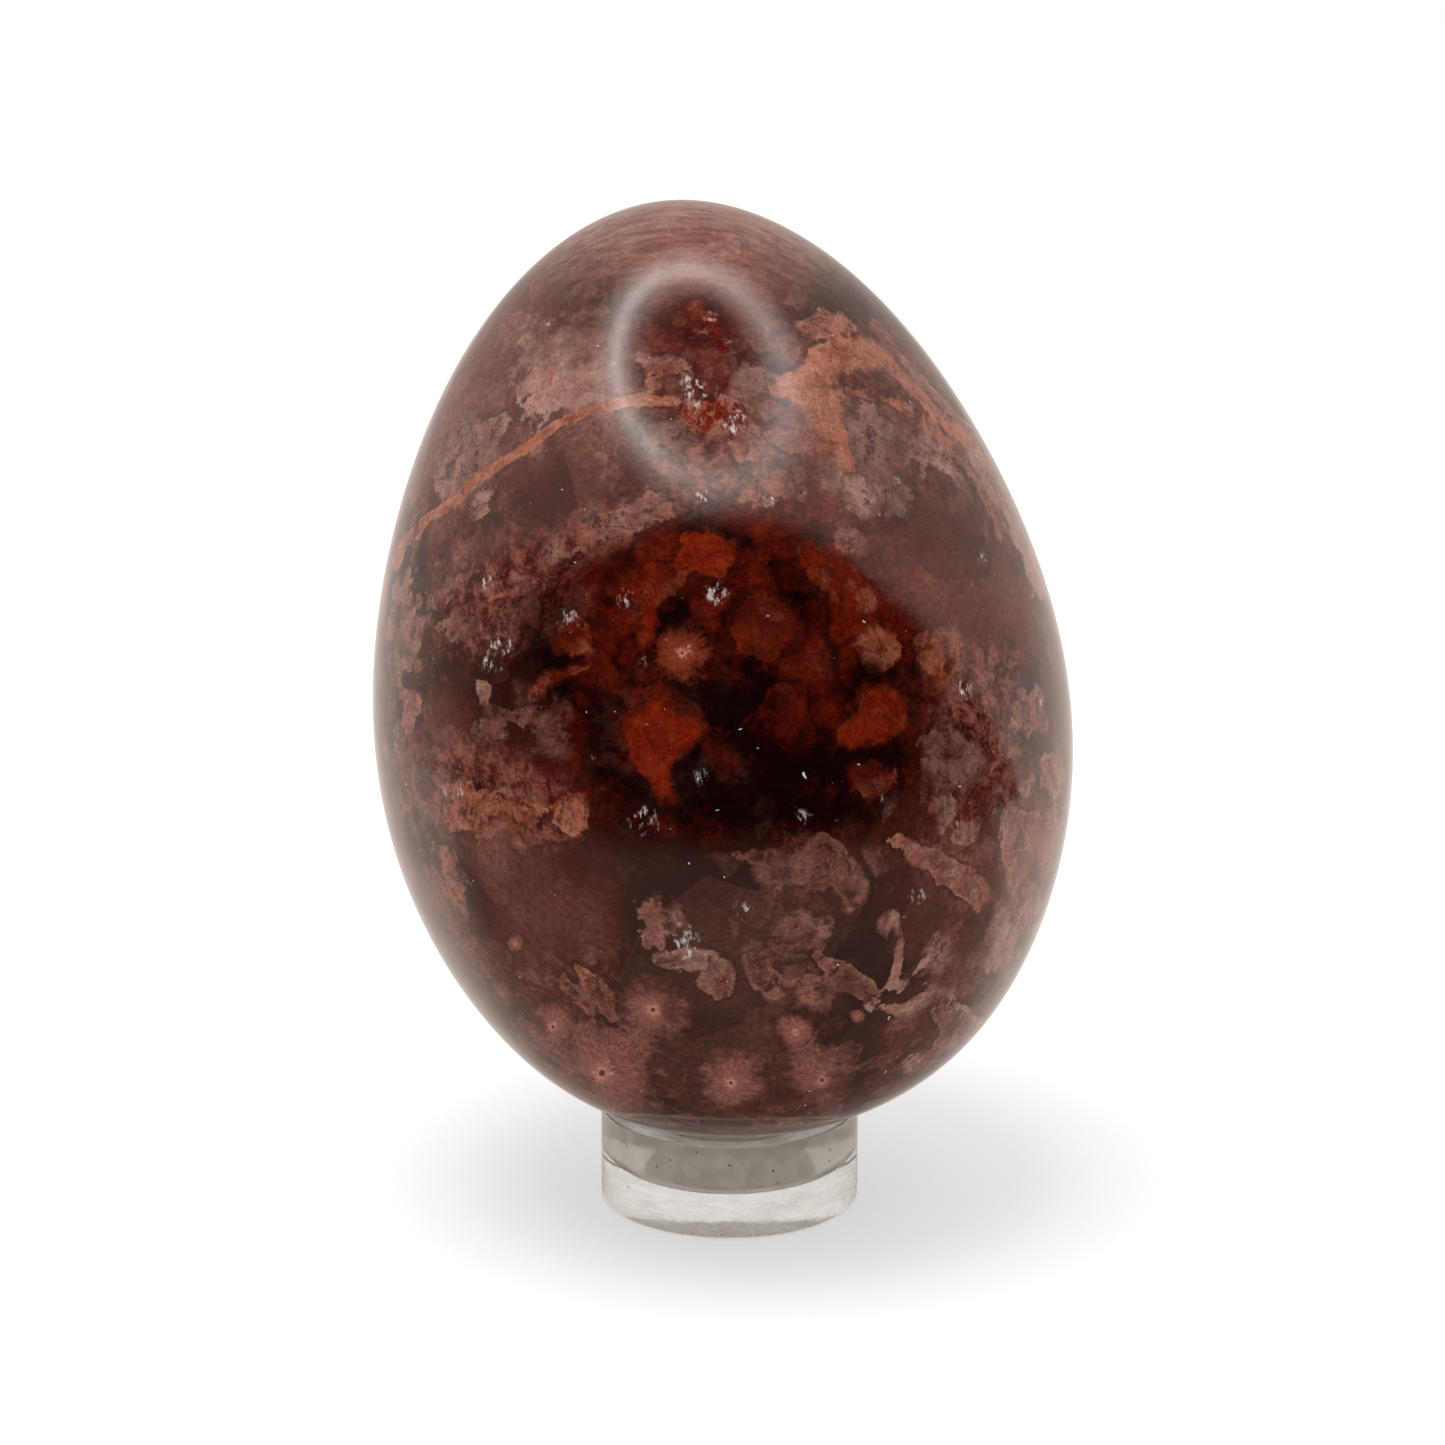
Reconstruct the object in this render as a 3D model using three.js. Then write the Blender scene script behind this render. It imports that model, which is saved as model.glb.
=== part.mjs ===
// A polished stone egg that leans in a small clear cup stand.
// Millimetres, +Z up. The origin is the centre of the stand's underside.

import * as THREE from 'three';

// Stand: a short clear disc with a blind round recess in its top
const STAND_DIAMETER = 25.4;
const STAND_HEIGHT = 9.525;
const STAND_FLOOR = 3.45;
const RECESS_DIAMETER = 17.4;
const RECESS_FILLET = 1.1;
const RIM_ROUND = 0.3;
const FOOT_ROUND = 0.25;

// Seat: the shallow dished mouth of the recess, which the egg bears on with its outer edge
const SEAT_DIAMETER = 22.4;
const SEAT_DEPTH = 0.9;
const SEAT_GAP = 0.3;

// Egg: one solid stone, blunt end down; the width is the one at half its length
const EGG_LENGTH = 91.1;
const EGG_WIDTH = 66.5;
const EGG_LEAN = THREE.MathUtils.degToRad(7.6);
const EGG_ASIDE = 1.4;

// Places along the egg's axis run from -1 at the blunt end to +1 at the tip.
// The radius departs from an ellipsoid's by these factors of the place's first to fifth powers.
const EGG_DEPARTURE = [-0.154, -0.054, 0.069, 0.101, -0.123];

// The section's centre leaves the axis by these lengths times the place squared and cubed.
const EGG_BOW = 0.38;
const EGG_BOW_SKEW = 0.26;

// Facets
const STAND_SEGMENTS = 96;
const ROUND_STEPS = 5;
const EGG_SEGMENTS = 72;
const EGG_RINGS = 44;

/** Turns a profile of (radius, height) points about the Z axis. */
function turned(profile, segments) {
  const points = profile.map(([radius, height]) => new THREE.Vector2(radius, height));
  return new THREE.LatheGeometry(points, segments).rotateX(Math.PI / 2);
}

/** Points of a quarter round about (radius, height), from one angle to another. */
function quarterRound(radius, height, size, fromAngle, toAngle) {
  const points = [];
  for (let step = 0; step <= ROUND_STEPS; step++) {
    const angle = THREE.MathUtils.lerp(fromAngle, toAngle, step / ROUND_STEPS);
    points.push([radius + size * Math.cos(angle), height + size * Math.sin(angle)]);
  }
  return points;
}

/** The stand's outline, from the middle of its underside, up the outside and down into the recess. */
function standProfile() {
  const outer = STAND_DIAMETER / 2;
  const recess = RECESS_DIAMETER / 2;
  const quarter = Math.PI / 2;
  return [
    [0, 0],
    ...quarterRound(outer - FOOT_ROUND, FOOT_ROUND, FOOT_ROUND, -quarter, 0),
    ...quarterRound(outer - RIM_ROUND, STAND_HEIGHT - RIM_ROUND, RIM_ROUND, 0, quarter),
    [SEAT_DIAMETER / 2, STAND_HEIGHT],
    [recess, STAND_HEIGHT - SEAT_DEPTH],
    ...quarterRound(recess - RECESS_FILLET, STAND_FLOOR + RECESS_FILLET, RECESS_FILLET, 0, -quarter),
    [0, STAND_FLOOR],
  ];
}

/** The egg's radius at a place along its axis. */
function eggRadius(place) {
  const departure = EGG_DEPARTURE.reduce((sum, factor, i) => sum + factor * place ** (i + 1), 1);
  return (EGG_WIDTH / 2) * Math.sqrt(Math.max(0, 1 - place ** 2)) * departure;
}

/** How far the centre of the egg's section is off its axis, at a place along it. */
function eggBow(place) {
  return EGG_BOW * place ** 2 + EGG_BOW_SKEW * place ** 3;
}

/** The egg about the middle of its length, tip up. */
function eggGeometry() {
  const profile = [];
  for (let ring = 0; ring <= EGG_RINGS; ring++) {
    const place = -Math.cos((Math.PI * ring) / EGG_RINGS);
    profile.push([eggRadius(place), (EGG_LENGTH / 2) * place]);
  }
  profile[0][0] = 0;
  profile[EGG_RINGS][0] = 0;
  const geometry = turned(profile, EGG_SEGMENTS);
  const corners = geometry.getAttribute('position');
  for (let i = 0; i < corners.count; i++) {
    corners.setX(i, corners.getX(i) + eggBow(corners.getZ(i) / (EGG_LENGTH / 2)));
  }
  geometry.computeVertexNormals();
  return geometry;
}

/** Whether a point lies in the leaning egg, when the egg's middle is at the given point. */
function insideEgg(point, middle) {
  const local = point.clone().sub(middle).applyAxisAngle(new THREE.Vector3(0, 1, 0), EGG_LEAN);
  const place = local.z / (EGG_LENGTH / 2);
  if (Math.abs(place) >= 1) return false;
  return Math.hypot(local.x - eggBow(place), local.y) < eggRadius(place);
}

/** The egg's middle when it has come down onto the seat's outer edge, lifted again by the seat gap. */
function eggMiddle() {
  const edge = [];
  for (let step = 0; step < STAND_SEGMENTS; step++) {
    const angle = (2 * Math.PI * step) / STAND_SEGMENTS;
    const radius = SEAT_DIAMETER / 2;
    edge.push(new THREE.Vector3(radius * Math.cos(angle), radius * Math.sin(angle), STAND_HEIGHT));
  }
  let touching = STAND_HEIGHT;
  let clear = STAND_HEIGHT + EGG_LENGTH;
  for (let halving = 0; halving < 40; halving++) {
    const height = (touching + clear) / 2;
    const middle = new THREE.Vector3(-EGG_ASIDE, 0, height);
    if (edge.some((point) => insideEgg(point, middle))) touching = height;
    else clear = height;
  }
  return new THREE.Vector3(-EGG_ASIDE, 0, clear + SEAT_GAP);
}

const acrylic = new THREE.MeshStandardMaterial({
  color: 0xe6e3de,
  roughness: 0.08,
  metalness: 0,
  transparent: true,
  opacity: 0.35,
});
const stone = new THREE.MeshStandardMaterial({ color: 0x6b3d38, roughness: 0.12, metalness: 0 });

const stand = new THREE.Mesh(turned(standProfile(), STAND_SEGMENTS), acrylic);
stand.name = 'cup_stand';

const egg = new THREE.Mesh(eggGeometry(), stone);
egg.name = 'stone_egg';
egg.position.copy(eggMiddle());
egg.rotation.y = -EGG_LEAN;

const part = new THREE.Group();
part.add(stand, egg);

export default part;
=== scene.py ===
"""Looks, light and camera for a polished stone egg in a clear cup stand.

Metres, +Z up, with the origin at the centre of the stand's underside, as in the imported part.
"""

import logging
import math
from collections.abc import Callable, Sequence
from dataclasses import dataclass, field
from enum import Enum
from functools import partial

import bpy
import numpy as np
from mathutils import Matrix, Vector


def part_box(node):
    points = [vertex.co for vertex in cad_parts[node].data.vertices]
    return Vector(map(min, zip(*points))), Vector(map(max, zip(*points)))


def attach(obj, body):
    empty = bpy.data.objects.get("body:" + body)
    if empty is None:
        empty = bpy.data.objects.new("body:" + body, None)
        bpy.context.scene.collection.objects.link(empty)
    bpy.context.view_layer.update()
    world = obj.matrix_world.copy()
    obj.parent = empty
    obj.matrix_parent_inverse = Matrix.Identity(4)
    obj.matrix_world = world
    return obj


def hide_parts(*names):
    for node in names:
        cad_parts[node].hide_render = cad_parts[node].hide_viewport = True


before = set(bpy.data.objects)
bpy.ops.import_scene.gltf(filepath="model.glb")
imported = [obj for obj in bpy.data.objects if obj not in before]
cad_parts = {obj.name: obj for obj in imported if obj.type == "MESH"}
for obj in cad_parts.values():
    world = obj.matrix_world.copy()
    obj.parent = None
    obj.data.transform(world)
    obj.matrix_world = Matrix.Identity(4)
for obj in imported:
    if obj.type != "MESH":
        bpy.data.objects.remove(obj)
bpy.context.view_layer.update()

MM = 0.001
log = logging.getLogger("stone egg")

Pair = tuple[float, float]
Pixel = Pair
Place = tuple[float, float, float]
Socket = bpy.types.NodeSocket
Paint = Socket | str
Adder = Callable[..., Socket]
Kind = tuple[str, dict[str, str]]

# Kinds of nodes: the program's own name for each, and its settings here.
PLACE = ("ShaderNodeTexCoord", {})
ATTRIBUTE = ("ShaderNodeAttribute", {})
MAPPING = ("ShaderNodeMapping", {})
NOISE = ("ShaderNodeTexNoise", {})
CELLS = ("ShaderNodeTexVoronoi", {})
CELL_EDGES = ("ShaderNodeTexVoronoi", {"feature": "DISTANCE_TO_EDGE"})
CHANNELS = ("ShaderNodeSeparateColor", {})
SPLIT = ("ShaderNodeSeparateXYZ", {})
JOIN = ("ShaderNodeCombineXYZ", {})
RAMP = ("ShaderNodeValToRGB", {})
RANGE = ("ShaderNodeMapRange", {})
SMOOTH = ("ShaderNodeMapRange", {"interpolation_type": "SMOOTHSTEP"})
BLEND = ("ShaderNodeMix", {"data_type": "RGBA"})
TINT = ("ShaderNodeMix", {"data_type": "RGBA", "blend_type": "MULTIPLY"})
ADD, SUBTRACT, MULTIPLY, MULTIPLY_ADD, MAXIMUM, ABSOLUTE, LESS_THAN, GREATER_THAN, SINE, COSINE = (
    ("ShaderNodeMath", {"operation": name})
    for name in (
        "ADD SUBTRACT MULTIPLY MULTIPLY_ADD MAXIMUM ABSOLUTE LESS_THAN GREATER_THAN SINE COSINE"
    ).split()
)
VECTOR_ADD, VECTOR_SUBTRACT, VECTOR_MULTIPLY, VECTOR_MULTIPLY_ADD, SCALE, LENGTH, NORMALIZE = (
    ("ShaderNodeVectorMath", {"operation": name})
    for name in "ADD SUBTRACT MULTIPLY MULTIPLY_ADD SCALE LENGTH NORMALIZE".split()
)
RAYS = ("ShaderNodeLightPath", {})
BUMP = ("ShaderNodeBump", {})
PRINCIPLED = ("ShaderNodeBsdfPrincipled", {})
DIFFUSE = ("ShaderNodeBsdfDiffuse", {})
CLEAR = ("ShaderNodeBsdfTransparent", {})
EMISSION = ("ShaderNodeEmission", {})
BACKGROUND = ("ShaderNodeBackground", {})
SHADER_SUM = ("ShaderNodeAddShader", {})
SHADER_MIX = ("ShaderNodeMixShader", {})
OUTPUT = ("ShaderNodeOutputMaterial", {})
WORLD_OUTPUT = ("ShaderNodeOutputWorld", {})
GROUP_INPUT = ("NodeGroupInput", {})
GROUP_OUTPUT = ("NodeGroupOutput", {})
GRID, POSITION, SET_POSITION, MERGE, TRANSFORM, BOX, REALIZE, SET_MATERIAL = (
    (f"GeometryNode{name}", {})
    for name in (
        "MeshGrid InputPosition SetPosition MergeByDistance Transform BoundBox RealizeInstances SetMaterial"
    ).split()
)


def linear(code: str) -> tuple[float, float, float, float]:
    """Turns an sRGB colour into linear light.

    Args:
        code: The colour as hex digits, such as "#7a5a54".

    Returns:
        Red, green, blue and an alpha of 1.
    """
    channels = [int(code[i : i + 2], 16) / 255 for i in (1, 3, 5)]
    red, green, blue = (c / 12.92 if c <= 0.04045 else ((c + 0.055) / 1.055) ** 2.4 for c in channels)
    return red, green, blue, 1.0


def add_node(
    tree: bpy.types.NodeTree,
    kind: Kind,
    *values: object,
    output: str = "",
    stops: Sequence[tuple[float, str]] = (),
    named: dict[str, object] | None = None,
    **settings: object,
) -> Socket:
    """Adds one node with its settings and links.

    Args:
        tree: The tree that the node joins.
        kind: The kind of node.
        *values: A value, a hex colour or a socket for each input in order, or None to leave it.
        output: The output that is wanted, by name, where it isn't the first.
        stops: A colour ramp's places and hex colours.
        named: The same for inputs by name.
        **settings: More of the node's own properties.

    Returns:
        The wanted output, or the node's first.
    """
    node = tree.nodes.new(kind[0])
    for name, value in {**kind[1], **settings}.items():
        setattr(node, name, value)
    enabled = [socket for socket in node.inputs if socket.enabled]
    pairs = list(zip(enabled, values)) + [(node.inputs[k], v) for k, v in (named or {}).items()]
    for socket, value in pairs:
        if isinstance(value, Socket):
            tree.links.new(value, socket)
        elif value is not None:
            socket.default_value = linear(value) if isinstance(value, str) else value
    if stops:
        elements = node.color_ramp.elements
        while len(elements) < len(stops):
            elements.new(1.0)
        for element, (place, code) in zip(elements, stops):
            element.position = place
            element.color = linear(code)
    outputs = [socket for socket in node.outputs if socket.enabled]
    return node.outputs[output] if output else (outputs or [None])[0]


def start_material(name: str) -> tuple[bpy.types.Material, Adder]:
    """Starts a material with an empty tree.

    Args:
        name: The material's name.

    Returns:
        The material, and what adds nodes to its tree.
    """
    material = bpy.data.materials.new(name)
    material.use_nodes = True
    material.node_tree.nodes.clear()
    return material, partial(add_node, material.node_tree)


def link_mesh(name: str, mesh: bpy.types.Mesh) -> bpy.types.Object:
    """Puts a mesh in the scene as a smooth-shaded object at the origin.

    Args:
        name: The object's and the mesh's name.
        mesh: The mesh, with its place in its vertices.

    Returns:
        The new object.
    """
    mesh.name = name
    mesh.shade_smooth()
    piece = bpy.data.objects.new(name, mesh)
    bpy.context.scene.collection.objects.link(piece)
    return piece


def turned_mesh(name: str, profile: Sequence[Pair], segments: int) -> bpy.types.Mesh:
    """Turns a profile that starts and ends on the axis about Z.

    Args:
        name: The mesh's name.
        profile: Radius and height of each point, from the underside round to the top.
        segments: How many steps the turn has.

    Returns:
        A closed mesh whose faces point outwards.
    """
    turn = np.linspace(0.0, 2.0 * math.pi, segments, endpoint=False)
    rows = [
        np.column_stack((r * np.cos(turn), r * np.sin(turn), np.full(segments, z)))
        for r, z in profile[1:-1]
    ]
    corners = np.vstack([[(0.0, 0.0, profile[0][1])], *rows, [(0.0, 0.0, profile[-1][1])]])
    step = np.arange(segments)
    pairs = [(int(a), int(b)) for a, b in zip(step, (step + 1) % segments)]
    faces: list[tuple[int, ...]] = [(0, 1 + b, 1 + a) for a, b in pairs]
    for row in range(len(rows) - 1):
        low, high = 1 + row * segments, 1 + (row + 1) * segments
        faces += [(low + a, low + b, high + b, high + a) for a, b in pairs]
    last, end = 1 + (len(rows) - 1) * segments, len(corners) - 1
    faces += [(last + a, last + b, end) for a, b in pairs]
    mesh = bpy.data.meshes.new(name)
    mesh.from_pydata(corners.tolist(), [], faces)
    return mesh


def outline_distance(points: np.ndarray, outline: Sequence[Pixel]) -> np.ndarray:
    """Measures how far points are from a closed outline.

    Args:
        points: The points, one to a row.
        outline: The outline's corners in order.

    Returns:
        The distance of each point, negative inside.
    """
    inside = np.zeros(len(points), bool)
    nearest = np.full(len(points), np.inf)
    corners = np.asarray(outline, float)
    for start, end in zip(corners, np.roll(corners, -1, axis=0)):
        nearest = np.minimum(nearest, stretch_distance(points, start, end))
        crosses = (start[1] > points[:, 1]) != (end[1] > points[:, 1])
        rise = end[1] - start[1] or 1e-9
        crossing = start[0] + (points[:, 1] - start[1]) / rise * (end[0] - start[0])
        inside ^= crosses & (points[:, 0] < crossing)
    return np.where(inside, -nearest, nearest)


def stretch_distance(points: np.ndarray, start: np.ndarray, end: np.ndarray) -> np.ndarray:
    """Measures how far points are from one straight stretch.

    Args:
        points: The points, one to a row.
        start: Where the stretch starts.
        end: Where it ends.

    Returns:
        The distance of each point.
    """
    along = end - start
    share = np.clip((points - start) @ along / max(float(along @ along), 1e-12), 0.0, 1.0)
    return np.hypot(*(points - start - share[:, None] * along).T)


@dataclass(frozen=True)
class Sight:
    """A camera's place round the object, through which marks are set on the stone.

    Its picture is square. The photograph's own sight has a turn of 0.
    """

    turn: float = 0.0
    distance: float = 420 * MM
    focal: float = 4216.5
    picture: float = 1445.0
    foot: Pixel = (729.5, 1191.3)
    foot_elevation: float = math.radians(21.6)
    sensor: float = 36.0

    @property
    def scale(self) -> float:
        """How many pixels a millimetre has at the stand."""
        return self.focal / self.distance * MM

    def axes(self) -> np.ndarray:
        """Works out which way the sight looks.

        Returns:
            Its right, up and backward directions, one to a row.
        """
        elevation = self.foot_elevation - math.atan((self.foot[1] - self.picture / 2) / self.focal)
        level = np.array(
            [
                (1.0, 0.0, 0.0),
                (0.0, math.sin(elevation), math.cos(elevation)),
                (0.0, -math.cos(elevation), math.sin(elevation)),
            ]
        )
        c, s = math.cos(self.turn), math.sin(self.turn)
        return level @ np.array([(c, s, 0.0), (-s, c, 0.0), (0.0, 0.0, 1.0)])

    def eye(self) -> np.ndarray:
        """Works out where the sight stands, from where the foot is in its picture.

        Returns:
            The place of the eye.
        """
        across = (self.foot[0] - self.picture / 2) / self.focal * self.distance
        above = -(self.foot[1] - self.picture / 2) / self.focal * self.distance
        right, up, back = self.axes()
        return self.distance * back - across * right - above * up

    def project(self, points: np.ndarray) -> np.ndarray:
        """Finds where points are in the sight's picture.

        Args:
            points: Places in the part's frame, one to a row.

        Returns:
            The pixel of each, one to a row.
        """
        seen = (points - self.eye()) @ self.axes().T
        middle = self.picture / 2
        return np.column_stack(
            (
                middle - self.focal * seen[:, 0] / seen[:, 2],
                middle + self.focal * seen[:, 1] / seen[:, 2],
            )
        )

    def facing(self, points: np.ndarray, normals: np.ndarray) -> np.ndarray:
        """Finds how squarely a surface faces the sight.

        Args:
            points: Places on the surface.
            normals: The surface's outward direction at each.

        Returns:
            1 where it faces the eye, 0 at the outline and less behind it.
        """
        towards = self.eye() - points
        towards /= np.linalg.norm(towards, axis=1)[:, None]
        return (towards * normals).sum(axis=1)

    def make_camera(self) -> None:
        """Makes this sight the scene's camera."""
        camera = bpy.data.cameras.new("photo_camera")
        camera.sensor_width = self.sensor
        camera.lens = self.focal / self.picture * self.sensor
        camera.clip_start = 10 * MM
        holder = bpy.data.objects.new("photo_camera", camera)
        bpy.context.scene.collection.objects.link(holder)
        turn = Matrix(self.axes().tolist()).transposed().to_4x4()
        holder.matrix_world = Matrix.Translation(Vector(self.eye())) @ turn
        bpy.context.scene.camera = holder


class Tone(Enum):
    """Colour of a mark: how warm it is, from grey tan to orange, and how light."""

    CLAY = (0.0, 0.3)
    SMOKE = (0.25, 0.05)
    TAN = (0.1, 0.6)
    MAUVE = (0.15, 0.2)
    PINK = (0.3, 0.55)
    BLUSH = (0.32, 0.85)
    SHELL = (0.12, 0.95)
    SALMON = (0.55, 0.6)
    CORAL = (0.55, 0.95)
    RUST = (0.75, 0.5)
    BRICK = (0.85, 0.2)
    EMBER = (0.87, 0.9)
    CREAM = (0.1, 1.0)


@dataclass(frozen=True)
class Patch:
    """An irregular fragment in the stone, by its outline in a sight's picture.

    How crisp it is says how many times less ragged its edge is than an ordinary one.
    """

    tone: Tone
    outline: tuple[Pixel, ...]
    crisp: float = 1.0

    def distance(self, points: np.ndarray, scale: float) -> np.ndarray:
        """Measures points from the outline.

        Args:
            points: Pixels in the sight's picture.
            scale: Pixels per millimetre.

        Returns:
            Millimetres, negative inside.
        """
        return outline_distance(points, self.outline) / scale * self.crisp


@dataclass(frozen=True)
class Vein:
    """A band of one width in millimetres along a path in a sight's picture."""

    tone: Tone
    width: float
    path: tuple[Pixel, ...]
    crisp: float = 2.0

    def distance(self, points: np.ndarray, scale: float) -> np.ndarray:
        """Measures points from the band's edge.

        Args:
            points: Pixels in the sight's picture.
            scale: Pixels per millimetre.

        Returns:
            Millimetres, negative inside.
        """
        path = np.asarray(self.path, float)
        stretches = [stretch_distance(points, a, b) for a, b in zip(path, path[1:])]
        return (np.min(stretches, axis=0) / scale - self.width / 2) * self.crisp


@dataclass(frozen=True)
class Flower:
    """A round growth of fibres about a heart, with its radius in millimetres."""

    centre: Pixel
    radius: float

    def spread(self, points: np.ndarray, scale: float) -> np.ndarray:
        """Measures points from the heart.

        Args:
            points: Pixels in the sight's picture.
            scale: Pixels per millimetre.

        Returns:
            Each point's two offsets and its distance, in radii.
        """
        offsets = (points - np.asarray(self.centre)) / scale / self.radius
        return np.column_stack((offsets, np.hypot(*offsets.T)))


@dataclass(frozen=True)
class Wash:
    """A broad lighter or darker area, with its radius in millimetres and its amount.

    How calm it is says how far chips and clouds are missing there.
    """

    centre: Pixel
    radius: float
    amount: float
    calm: float = 0.0


@dataclass(frozen=True)
class MarkSet:
    """Everything that one sight shows in the stone.

    Crystals are a pixel and a radius in millimetres. Depths and crumbs are outlines of where
    the stone is clear and dark, and where it is a mass of small grains.
    """

    sight: Sight
    fragments: tuple[Patch | Vein, ...]
    flowers: tuple[Flower, ...]
    crystals: tuple[tuple[Pixel, float], ...]
    depths: tuple[tuple[Pixel, ...], ...]
    crumbs: tuple[tuple[Pixel, ...], ...]
    washes: tuple[Wash, ...]


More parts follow.
